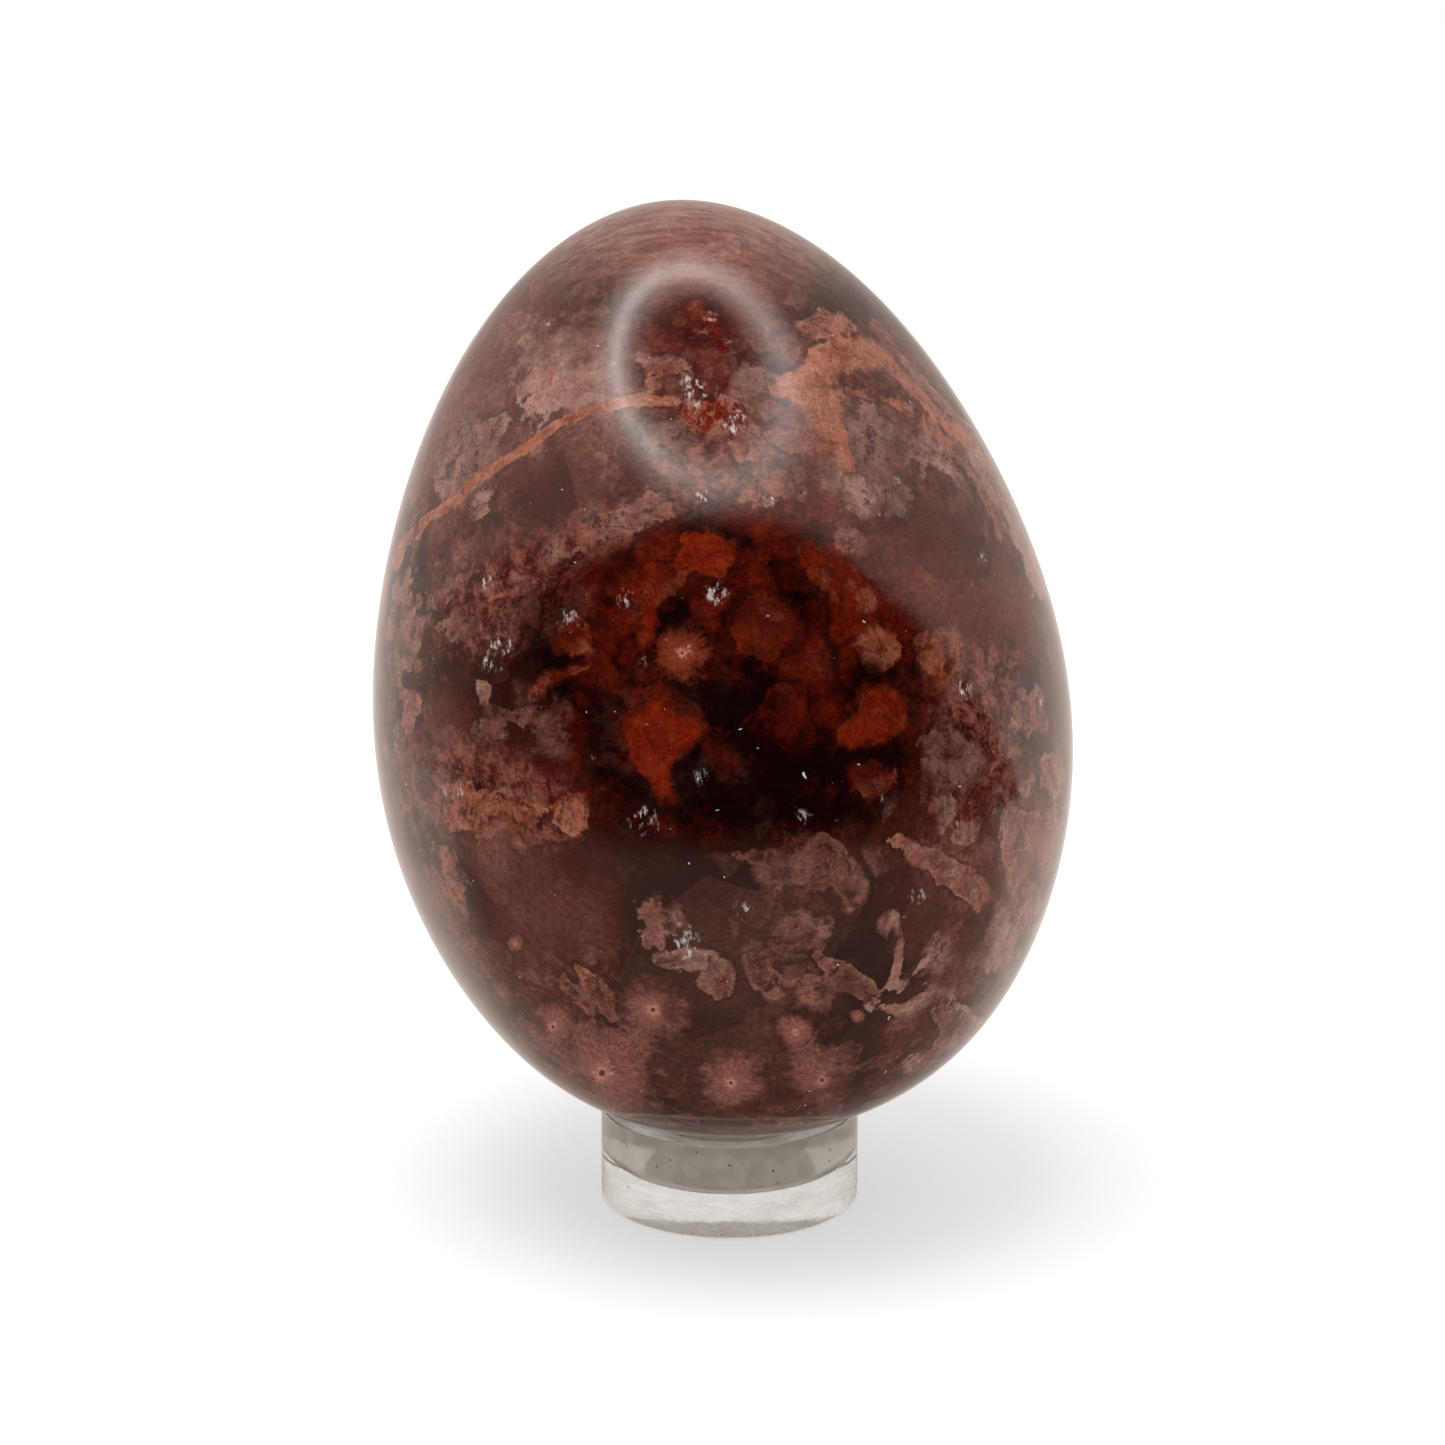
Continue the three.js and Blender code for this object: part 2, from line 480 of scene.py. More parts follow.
# What the photograph shows, in the pixels of its 1445 px frame.
FRONT_FRAGMENTS: tuple[Patch | Vein, ...] = (
    # The vein that runs up from the left edge and over the middle
    Vein(Tone.CORAL, 0.9, ((397, 563), (403, 545), (427, 520), (457, 500), (473, 483)), 5.0),
    Vein(Tone.CORAL, 0.9, ((473, 483), (493, 467), (517, 453), (533, 443), (553, 427)), 5.0),
    Vein(Tone.CORAL, 1.0, ((553, 427), (573, 417), (593, 410), (617, 403), (643, 400), (677, 402)), 4.0),
    # Upper left
    Patch(Tone.CREAM, ((533, 353), (560, 347), (577, 367), (600, 383), (600, 400), (547, 423), (520, 413)),
        0.45),
    Patch(Tone.TAN, ((470, 427), (507, 413), (503, 440), (477, 463), (447, 493), (442, 480), (447, 460)),
        0.6),
    Patch(Tone.SMOKE, ((563, 300), (583, 282), (605, 292), (606, 312), (585, 322), (566, 315))),
    Patch(Tone.TAN, ((468, 505), (485, 490), (497, 497), (488, 515), (473, 520))),
    Patch(Tone.PINK, ((540, 550), (567, 530), (600, 517), (650, 490), (670, 513), (613, 540), (547, 563))),
    Patch(Tone.BRICK, ((600, 506), (618, 490), (640, 487), (634, 501), (612, 514)), 1.5),
    Patch(Tone.PINK, ((440, 625), (455, 613), (463, 625), (452, 637))),
    # Under the tip's dark core
    Patch(Tone.RUST, ((673, 300), (700, 305), (722, 335), (733, 343), (722, 347), (700, 335), (680, 325))),
    Patch(Tone.PINK, ((640, 360), (680, 357), (690, 372), (678, 392), (648, 392))),
    Patch(Tone.EMBER, ((680, 405), (733, 395), (740, 415), (722, 432), (697, 432), (683, 420))),
    Patch(Tone.CLAY, ((735, 357), (768, 362), (772, 382), (755, 393), (735, 385))),
    Patch(Tone.CLAY, ((640, 425), (680, 418), (690, 437), (665, 450), (643, 445))),
    Patch(Tone.SALMON, ((733, 445), (752, 440), (755, 457), (738, 463))),
    Patch(Tone.PINK, ((791, 467), (817, 462), (819, 473), (797, 479))),
    # The orange arch on the upper right, and the bands that leave it along the edge
    Patch(Tone.CORAL, ((803, 367), (810, 350), (843, 336), (867, 338), (887, 350), (897, 363), (867, 367),
        (830, 374)), 2.0),
    Patch(Tone.CORAL, ((767, 387), (800, 367), (833, 372), (838, 400), (853, 458), (847, 470), (827, 440),
        (800, 402)), 1.6),
    Patch(Tone.SALMON, ((800, 325), (822, 312), (845, 316), (862, 328), (840, 334), (815, 338)), 1.4),
    Vein(Tone.SALMON, 0.8, ((838, 392), (865, 394), (890, 401), (920, 415), (950, 442)), 3.0),
    Vein(Tone.CORAL, 1.1, ((888, 362), (904, 378), (926, 405), (950, 424), (972, 448)), 2.5),
    Vein(Tone.BLUSH, 0.7, ((900, 358), (922, 382), (950, 410), (976, 438), (996, 470)), 2.5),
    Vein(Tone.SHELL, 1.6, ((972, 448), (992, 482), (1010, 512), (1028, 553), (1040, 590)), 2.0),
    Vein(Tone.SALMON, 0.5, ((905, 412), (940, 440), (968, 468), (985, 500), (1000, 540)), 3.0),
    Vein(Tone.BRICK, 0.3, ((908, 436), (940, 456), (960, 466), (976, 488), (988, 516), (1002, 544),
        (1020, 575)), 3.0),
    Vein(Tone.BRICK, 1.0, ((850, 380), (875, 383), (900, 392), (925, 412)), 2.0),
    Patch(Tone.TAN, ((837, 480), (867, 480), (897, 483), (903, 497), (893, 513), (857, 503)), 0.6),
    Patch(Tone.CLAY, ((846, 418), (870, 410), (893, 426), (898, 448), (875, 458), (853, 446)), 0.6),
    Patch(Tone.TAN, ((910, 438), (925, 432), (945, 455), (957, 475), (940, 478), (918, 460)), 0.6),
    Patch(Tone.PINK, ((836, 535), (855, 530), (858, 545), (840, 550))),
    Patch(Tone.CLAY, ((868, 488), (885, 470), (905, 478), (912, 500), (890, 520), (872, 508)), 0.7),
    # The bright fragments in the clear, dark middle
    Patch(Tone.RUST, ((623, 573), (677, 563), (693, 573), (690, 590), (643, 610), (627, 600))),
    Vein(Tone.EMBER, 1.0, ((648, 596), (650, 620), (645, 642))),
    Patch(Tone.EMBER, ((680, 540), (707, 533), (730, 543), (733, 563), (720, 580), (697, 577), (680, 563))),
    Patch(Tone.BRICK, ((705, 508), (750, 500), (795, 512), (800, 530), (745, 532), (710, 525)), 0.8),
    Patch(Tone.SALMON, ((735, 498), (765, 490), (780, 500), (755, 510)), 0.8),
    Patch(Tone.RUST, ((563, 627), (577, 617), (597, 637), (590, 653), (580, 660), (567, 650))),
    Patch(Tone.BRICK, ((735, 605), (760, 594), (787, 610), (793, 637), (775, 657), (745, 655), (731, 633))),
    Patch(Tone.RUST, ((800, 547), (827, 543), (850, 557), (873, 580), (887, 597), (860, 610), (817, 590))),
    Patch(Tone.SALMON, ((860, 642), (875, 628), (892, 636), (899, 652), (885, 668), (868, 658)), 1.4),
    Patch(Tone.EMBER, ((887, 690), (902, 707), (903, 727), (887, 737), (850, 743), (840, 740), (850, 720),
        (863, 703))),
    Patch(Tone.EMBER, ((627, 723), (660, 703), (700, 730), (677, 760), (670, 773), (673, 797), (660, 797),
        (640, 770)), 1.6),
    Vein(Tone.RUST, 1.0, ((533, 694), (550, 677), (567, 672), (583, 668))),
    Patch(Tone.PINK, ((483, 682), (489, 680), (493, 690), (486, 697), (481, 691))),
    Patch(Tone.SMOKE, ((500, 708), (537, 708), (522, 733)), 2.0),
    Patch(Tone.SMOKE, ((478, 712), (500, 707), (506, 733), (492, 745), (478, 735))),
    Patch(Tone.SMOKE, ((533, 722), (560, 715), (566, 742), (555, 760), (536, 750))),
    Patch(Tone.RUST, ((850, 772), (875, 765), (895, 775), (892, 797), (868, 800), (852, 790))),
    Patch(Tone.MAUVE, ((925, 733), (960, 725), (977, 745), (975, 772), (945, 785), (922, 765))),
    Patch(Tone.SALMON, ((920, 640), (948, 632), (968, 650), (960, 672), (940, 682), (922, 668)), 1.2),
    # The lumpy band on the left
    Patch(Tone.SALMON, ((427, 803), (447, 783), (503, 790), (547, 807), (520, 840), (487, 830),
        (440, 827))),
    Patch(Tone.SALMON, ((560, 805), (577, 801), (591, 810), (590, 826), (573, 832), (558, 824))),
    Vein(Tone.RUST, 0.8, ((555, 800), (583, 795), (605, 790))),
    # Left edge
    Patch(Tone.PINK, ((393, 590), (408, 572), (418, 600), (414, 650), (402, 675), (391, 640)), 0.4),
    Patch(Tone.BLUSH, ((401, 692), (414, 684), (421, 698), (419, 718), (411, 734), (402, 722)), 1.8),
    Patch(Tone.PINK, ((392, 750), (408, 745), (412, 790), (400, 812)), 0.6),
    Patch(Tone.SALMON, ((433, 845), (453, 855), (462, 880), (460, 905), (447, 895), (437, 870)), 0.6),
    # The slit growth on the lower left
    Patch(Tone.SALMON, ((556, 980), (563, 968), (569, 978), (578, 992), (590, 1006), (600, 1022),
        (601, 1032), (584, 1014)), 2.2),
    Patch(Tone.SALMON, ((573, 966), (586, 967), (603, 980), (615, 1000), (618, 1024), (608, 1026),
        (598, 1005), (584, 986)), 2.2),
    # Under the middle
    Patch(Tone.PINK, ((637, 905), (655, 900), (668, 915), (667, 935), (660, 955), (643, 945)), 0.7),
    Patch(Tone.TAN, ((650, 957), (693, 948), (723, 953), (715, 966), (690, 970), (660, 968)), 2.4),
    Patch(Tone.PINK, ((703, 962), (730, 957), (735, 975), (731, 993), (716, 1000), (699, 985)), 2.8),
    Patch(Tone.PINK, ((733, 855), (750, 846), (773, 853), (790, 870), (775, 897), (758, 873)), 1.6),
    Patch(Tone.PINK, ((797, 860), (822, 828), (843, 847), (867, 880), (863, 902), (850, 912), (832, 884),
        (790, 883)), 2.6),
    Patch(Tone.BLUSH, ((884, 838), (898, 834), (915, 843), (940, 850), (968, 866), (984, 880), (990, 896),
        (978, 912), (962, 900), (948, 885), (936, 884), (930, 868), (910, 862), (903, 848), (893, 850)),
        2.6),
    Patch(Tone.PINK, ((737, 954), (767, 950), (773, 970), (787, 980), (778, 1000), (753, 990)), 2.8),
    Patch(Tone.PINK, ((793, 985), (805, 975), (822, 976), (828, 990), (820, 1004), (801, 1002)), 2.4),
    Patch(Tone.PINK, ((808, 948), (850, 965), (873, 981), (881, 1000), (864, 1000), (828, 983)), 3.0),
    Patch(Tone.PINK, ((767, 943), (783, 922), (805, 918), (825, 927), (830, 943), (790, 953)), 1.0),
    Patch(Tone.BRICK, ((790, 925), (800, 921), (806, 930), (797, 936)), 2.0),
    # The branches on the lower right
    Vein(Tone.SHELL, 0.6, ((893, 915), (901, 938), (899, 960), (891, 987)), 3.0),
    Vein(Tone.SHELL, 0.5, ((947, 940), (933, 953), (917, 970), (898, 992)), 2.0),
    Patch(Tone.TAN, ((923, 950), (938, 938), (951, 946), (948, 963), (930, 969)), 1.2),
    Vein(Tone.SHELL, 0.9, ((870, 1008), (882, 1004), (893, 1011), (907, 1010), (920, 1000), (933, 990)),
        1.6),
    Vein(Tone.SHELL, 0.6, ((915, 983), (932, 985), (950, 995), (957, 1007), (968, 1012), (980, 1025)), 2.0),
    Vein(Tone.SHELL, 0.4, ((955, 1010), (948, 1022), (956, 1034), (951, 1045)), 2.0),
    Vein(Tone.SHELL, 0.3, ((948, 992), (956, 1002), (952, 1014), (962, 1022), (960, 1036)), 2.0),
    Vein(Tone.BLUSH, 0.4, ((893, 917), (886, 926), (889, 938)), 2.0),
    Vein(Tone.PINK, 1.2, ((940, 1013), (947, 1033), (933, 1055), (917, 1067)), 2.0),
    Patch(Tone.SHELL, ((905, 1061), (916, 1054), (927, 1060), (922, 1069), (910, 1070)), 1.4),
    Patch(Tone.PINK, ((942, 1000), (962, 1010), (975, 1030), (960, 1045), (946, 1030)), 1.4),
    # Right edge
    Patch(Tone.BLUSH, ((1000, 840), (1013, 813), (1033, 810), (1050, 827), (1033, 857), (1027, 880),
        (1010, 887)), 2.4),
    Patch(Tone.BLUSH, ((1043, 757), (1057, 750), (1065, 770), (1063, 793), (1050, 800), (1042, 783)), 1.4),
    Patch(Tone.BLUSH, ((1015, 893), (1035, 880), (1040, 905), (1022, 935), (1013, 920)), 1.6),
    Patch(Tone.BLUSH, ((1045, 815), (1058, 805), (1060, 840), (1046, 872), (1038, 860)), 1.2),
    Patch(Tone.SHELL, ((1000, 915), (1012, 925), (1012, 950), (998, 975), (990, 960)), 0.8),
    Patch(Tone.PINK, ((1015, 700), (1035, 690), (1045, 720), (1030, 745), (1015, 730)), 0.8),
    Vein(Tone.PINK, 0.6, ((1000, 790), (1012, 800), (1006, 815), (1000, 835)), 1.6),
    # Round the foot
    Patch(Tone.PINK, ((820, 1100), (838, 1097), (843, 1115), (828, 1125), (818, 1115)), 1.6),
)

FRONT_FLOWERS = (
    Flower((602, 1073), 5.6), Flower((731, 1083), 3.2), Flower((822, 1080), 3.6), Flower((653, 1010), 3.8),
    Flower((553, 1027), 2.8), Flower((515, 944), 0.9), Flower((795, 1032), 1.8), Flower((858, 1017), 0.8),
    Flower((682, 653), 2.7),
)

# White crystals, each a pixel and a radius in millimetres; a few small ones are painted highlights on nicks
# in the polish.
FRONT_CRYSTALS = (
    ((490, 580), 0.9), ((627, 598), 0.8), ((570, 620), 1.0), ((498, 647), 1.4), ((717, 593), 1.2),
    ((693, 393), 1.6), ((550, 323), 0.4), ((708, 317), 0.4), ((733, 422), 1.0), ((703, 497), 0.7),
    ((693, 470), 0.7), ((493, 660), 1.3), ((687, 650), 0.6), ((643, 662), 0.4), ((453, 790), 1.0),
    ((642, 820), 1.4), ((687, 942), 1.5), ((700, 777), 0.7), ((595, 757), 0.5), ((962, 690), 0.9),
    ((803, 817), 0.9), ((882, 798), 0.5), ((877, 783), 0.4), ((743, 910), 0.9), ((917, 895), 0.8),
    ((1040, 700), 0.5), ((908, 405), 0.4), ((898, 480), 0.6), ((982, 560), 0.5), ((768, 503), 0.5),
    ((787, 467), 0.3), ((852, 323), 0.3), ((808, 387), 0.3),
)

FRONT_DEPTHS = (
    ((520, 600), (600, 558), (660, 528), (720, 508), (780, 510), (850, 545), (890, 590), (930, 630),
        (940, 700), (910, 785), (860, 825), (740, 838), (620, 830), (575, 780), (560, 710), (520, 670)),
    ((673, 300), (705, 295), (735, 316), (726, 328), (697, 333), (672, 316)),
)

FRONT_CRUMBS = (
    ((430, 600), (520, 545), (600, 500), (680, 475), (760, 450), (800, 438), (800, 478), (740, 503),
        (680, 522), (620, 545), (560, 578), (500, 640), (440, 650)),
    ((430, 580), (470, 555), (560, 560), (610, 590), (560, 640), (470, 665), (430, 640)),
    ((450, 770), (520, 760), (590, 790), (585, 840), (500, 850), (440, 820)),
    ((640, 440), (700, 425), (790, 430), (800, 470), (720, 490), (650, 480)),
    ((845, 365), (930, 365), (955, 420), (900, 420), (850, 395)),
    ((410, 740), (470, 740), (480, 780), (430, 800)),
    ((940, 640), (1020, 650), (1030, 760), (960, 800), (930, 740)),
)

FRONT_WASHES = (
    Wash((500, 420), 8.0, 0.7), Wash((585, 370), 6.0, 0.7), Wash((690, 225), 9.0, 0.5),
    Wash((590, 280), 6.0, -0.9, 0.9), Wash((820, 275), 7.0, -0.3, 0.9), Wash((640, 330), 5.0, -0.2, 0.5),
    Wash((720, 440), 6.0, 0.5), Wash((880, 460), 4.0, 0.3), Wash((905, 545), 6.0, -0.2, 1.2),
    Wash((960, 600), 7.0, 0.1, 1.2), Wash((866, 430), 4.0, 1.2), Wash((728, 750), 3.5, -1.3),
    Wash((605, 905), 4.5, 0.9), Wash((500, 580), 5.0, 0.5), Wash((980, 500), 5.0, 0.4),
    Wash((430, 720), 6.0, 0.5), Wash((440, 900), 6.0, 0.4), Wash((560, 1040), 7.0, 0.5),
    Wash((640, 1060), 6.0, 0.4), Wash((1020, 850), 7.0, 0.6), Wash((990, 1000), 6.0, 0.5),
    Wash((470, 810), 5.0, 0.4), Wash((460, 450), 5.0, 0.7), Wash((560, 490), 5.0, -0.2, 1.2),
    Wash((590, 520), 4.0, -0.2, 0.8), Wash((670, 885), 6.0, -0.8, 1.0), Wash((750, 900), 7.0, -1.0, 0.6),
    Wash((800, 1030), 7.0, -1.4, 0.5), Wash((570, 870), 7.0, 0.4, 1.2), Wash((510, 870), 6.0, 0.1, 1.2),
    Wash((575, 385), 6.0, 1.2), Wash((960, 620), 7.0, 0.6, 0.6), Wash((890, 930), 6.0, -0.7, 0.9),
    Wash((560, 900), 6.0, -0.2, 0.7), Wash((700, 1035), 6.0, -0.9, 0.8), Wash((895, 1040), 5.0, 0.6, 0.3),
    Wash((832, 1050), 3.0, -1.0), Wash((480, 680), 7.0, -0.2, 0.7), Wash((530, 640), 7.0, -0.9, 0.4),
    Wash((560, 730), 6.0, -0.7), Wash((960, 680), 6.0, -0.7), Wash((830, 900), 5.0, -0.3),
    Wash((412, 630), 4.0, 0.9), Wash((760, 790), 8.0, -1.4), Wash((640, 795), 5.0, -0.9),
    Wash((870, 800), 6.0, -0.8), Wash((700, 720), 5.0, -0.5), Wash((690, 620), 7.0, 0.6),
    Wash((820, 610), 6.0, 0.4), Wash((900, 660), 5.0, 0.5),
)


@dataclass(frozen=True)
class Scatter:
    """Marks of the same kinds and sizes for the sides that the photograph doesn't show.

    The middle and the reach are the egg's centre and half sizes in a sight's picture. Sizes of
    fragments and all of a vein's but its width are pixels there, and those of the other marks
    are millimetres. A swell is how many times a fragment's size an area has.
    """

    seed: int
    middle: Pixel = (723.0, 670.0)
    reach: Pixel = (320.0, 440.0)
    fragments: int = 46
    veins: int = 3
    vein_step: float = 42.0
    vein_slope: float = 0.6
    vein_shake: float = 12.0
    flowers: int = 9
    crystals: int = 22
    zones: int = 4
    washes: int = 16
    fragment_size: Pair = (9.0, 34.0)
    vein_width: Pair = (0.8, 2.2)
    flower_size: Pair = (1.8, 4.2)
    crystal_size: Pair = (0.4, 1.2)
    wash_size: Pair = (4.0, 8.0)
    wash_amount: Pair = (-0.9, 0.8)
    wash_calm: Pair = (-0.5, 1.2)
    corner_count: tuple[int, int] = (6, 10)
    corner_shift: float = 0.3
    corner_reach: Pair = (0.65, 1.15)
    slimness: Pair = (0.4, 0.9)
    depth_swell: float = 3.0
    crumb_swell: float = 2.2
    flower_top: float = 0.1

    def marks(self, sight: Sight) -> MarkSet:
        """Draws the marks for one side.

        Args:
            sight: The sight that looks at that side.

        Returns:
            The marks, in that sight's picture.
        """
        draw = np.random.default_rng(self.seed)
        patches = [Patch(self._tone(draw), self._blob(draw, 1.0)) for _ in range(self.fragments)]
        veins = [
            Vein(Tone.SALMON, float(draw.uniform(*self.vein_width)), self._wander(draw))
            for _ in range(self.veins)
        ]
        flowers = [
            Flower(self._place(draw, self.flower_top), float(draw.uniform(*self.flower_size)))
            for _ in range(self.flowers)
        ]
        crystals = [
            (self._place(draw), float(draw.uniform(*self.crystal_size))) for _ in range(self.crystals)
        ]
        depths = [self._blob(draw, self.depth_swell) for _ in range(self.zones // 2)]
        crumbs = [self._blob(draw, self.crumb_swell) for _ in range(self.zones)]
        washes = [
            Wash(
                self._place(draw),
                float(draw.uniform(*self.wash_size)),
                float(draw.uniform(*self.wash_amount)),
                float(draw.uniform(*self.wash_calm)),
            )
            for _ in range(self.washes)
        ]
        groups = (patches + veins, flowers, crystals, depths, crumbs, washes)
        return MarkSet(sight, *(tuple(group) for group in groups))

    def _tone(self, draw: np.random.Generator) -> Tone:
        """Picks a fragment's colour, mostly pink, with a few warm ones."""
        tones = (Tone.PINK, Tone.MAUVE, Tone.TAN, Tone.SALMON, Tone.CLAY, Tone.RUST, Tone.EMBER)
        return tones[int(draw.choice(len(tones), p=(0.34, 0.14, 0.14, 0.2, 0.08, 0.06, 0.04)))]

    def _place(self, draw: np.random.Generator, top: float = -1.0) -> Pixel:
        """Picks a pixel inside the egg's outline.

        Args:
            draw: The source of random numbers.
            top: How high it may lie, from -1 at the tip to 1 at the blunt end.

        Returns:
            The pixel.
        """
        turn, out = draw.uniform(0, 2 * math.pi), math.sqrt(draw.uniform(0, 1))
        across, down = out * math.cos(turn), max(out * math.sin(turn), top + abs(out) * 0.4)
        return float(self.middle[0] + self.reach[0] * across), float(self.middle[1] + self.reach[1] * down)

    def _blob(self, draw: np.random.Generator, swell: float) -> tuple[Pixel, ...]:
        """Draws an uneven outline.

        Args:
            draw: The source of random numbers.
            swell: How many times a fragment's size it has.

        Returns:
            The outline's corners.
        """
        centre, count = self._place(draw), int(draw.integers(*self.corner_count))
        size = draw.uniform(*self.fragment_size) * swell
        tilt, slim = draw.uniform(0, math.pi), draw.uniform(*self.slimness)
        corners = []
        for i in range(count):
            shift = draw.uniform(-self.corner_shift, self.corner_shift)
            turn = 2 * math.pi * (i + shift) / count
            out = size * draw.uniform(*self.corner_reach)
            along, across = out * math.cos(turn), out * slim * math.sin(turn)
            corners.append(
                (
                    centre[0] + along * math.cos(tilt) - across * math.sin(tilt),
                    centre[1] + along * math.sin(tilt) + across * math.cos(tilt),
                )
            )
        return tuple(corners)

    def _wander(self, draw: np.random.Generator) -> tuple[Pixel, ...]:
        """Draws the path of a vein across the side.

        Args:
            draw: The source of random numbers.

        Returns:
            The path's points.
        """
        start, slope = self._place(draw), draw.uniform(-self.vein_slope, self.vein_slope)
        steps = np.arange(-4, 5) * self.vein_step
        shake = self.vein_shake
        return tuple(
            (float(start[0] + s), float(start[1] + slope * s + draw.uniform(-shake, shake)))
            for s in steps
        )


@dataclass(frozen=True)
class EggShape:
    """The stone's form: the same sizes as the solid, in metres.

    Places along its axis run from -1 at the blunt end to 1 at the tip. The skin is what the
    smooth form gives up to stay inside the solid, whose facets cut its curves short. Corners
    nearer together than the weld become one, which closes the seam and both ends.
    """

    length: float = 91.1 * MM
    width: float = 66.5 * MM
    lean: float = math.radians(7.6)
    aside: float = 1.4 * MM
    departure: tuple[float, ...] = (-0.154, -0.054, 0.069, 0.101, -0.123)
    bow: float = 0.38 * MM
    bow_skew: float = 0.26 * MM
    skin: float = 0.04 * MM
    weld: float = 0.0001 * MM
    segments: int = 396
    rings: int = 242

    def sizes(self) -> dict[str, float]:
        """Lists the tree's inputs.

        Returns:
            Each input's name and value.
        """
        low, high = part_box("stone_egg")
        sizes = {
            "Half width": self.width / 2,
            "Half length": self.length / 2 - self.skin,
            "Turn": -self.lean,
            "Shift": -self.aside,
            "Middle height": (low.z + high.z) / 2,
            "Bow": self.bow,
            "Bow skew": self.bow_skew,
            "Skin": self.skin,
            "Columns": self.segments + 1,
            "Rows": self.rings + 1,
        }
        return sizes | {f"Departure {i + 1}": factor for i, factor in enumerate(self.departure)}

    def tree(self, finish: bpy.types.Material) -> bpy.types.NodeTree:
        """Builds the tree that bends a flat grid round into the egg.

        Args:
            finish: The stone's material.

        Returns:
            The tree.
        """
        tree = bpy.data.node_groups.new("egg_form", "GeometryNodeTree")
        tree.interface.new_socket("Geometry", in_out="OUTPUT", socket_type="NodeSocketGeometry")
        for name, value in self.sizes().items():
            kind = "NodeSocketInt" if isinstance(value, int) else "NodeSocketFloat"
            tree.interface.new_socket(name, in_out="INPUT", socket_type=kind)
        add = partial(add_node, tree)
        size = add(GROUP_INPUT).node.outputs
        grid = add(GRID, 2 * math.pi, math.pi, size["Columns"], size["Rows"])
        flat = add(SPLIT, add(POSITION)).node.outputs
        turn, rise = flat["X"], flat["Y"]
        place = add(SINE, rise)
        change: Socket | float = 0.0
        for power in range(len(self.departure), 0, -1):
            change = add(MULTIPLY_ADD, change, place, size[f"Departure {power}"])
        change = add(MULTIPLY_ADD, change, place, 1.0)
        radius = add(MULTIPLY, add(MULTIPLY, size["Half width"], add(COSINE, rise)), change)
        radius = add(MAXIMUM, add(SUBTRACT, radius, size["Skin"]), 0.0)
        bow = add(MULTIPLY_ADD, size["Bow skew"], place, size["Bow"])
        bow = add(MULTIPLY, bow, add(MULTIPLY, place, place))
        across = add(MULTIPLY_ADD, radius, add(COSINE, turn), bow)
        along = add(MULTIPLY, radius, add(SINE, turn))
        round_place = add(JOIN, across, along, add(MULTIPLY, size["Half length"], place))
        form = add(MERGE, add(SET_POSITION, grid, None, round_place), None, self.weld)
        form = add(TRANSFORM, form, None, add(JOIN, 0.0, size["Turn"], 0.0))
        box = add(BOX, form).node.outputs
        middle = add(SCALE, add(VECTOR_ADD, box["Min"], box["Max"]), 0.5)
        lift = add(SUBTRACT, size["Middle height"], add(SPLIT, middle, output="Z"))
        form = add(TRANSFORM, form, add(JOIN, size["Shift"], 0.0, lift))
        add(GROUP_OUTPUT, add(SET_MATERIAL, add(REALIZE, form), None, finish))
        return tree

    def mesh(self, name: str, finish: bpy.types.Material) -> bpy.types.Mesh:
        """Makes a plain, closed mesh of the tree's shape.

        Args:
            name: The mesh's name.
            finish: The stone's material.

        Returns:
            The mesh, with its faces outwards.
        """
        holder = link_mesh(name, bpy.data.meshes.new(name))
        modifier = holder.modifiers.new("egg_form", "NODES")
        modifier.node_group = self.tree(finish)
        sizes = self.sizes()
        for item in modifier.node_group.interface.items_tree:
            if item.in_out == "INPUT":
                modifier[item.identifier] = sizes[item.name]
        mesh = bpy.data.meshes.new_from_object(holder.evaluated_get(bpy.context.evaluated_depsgraph_get()))
        bpy.data.meshes.remove(holder.data)
        # The grid brings an empty slot of its own.
        mesh.materials.pop(index=0)
        return mesh


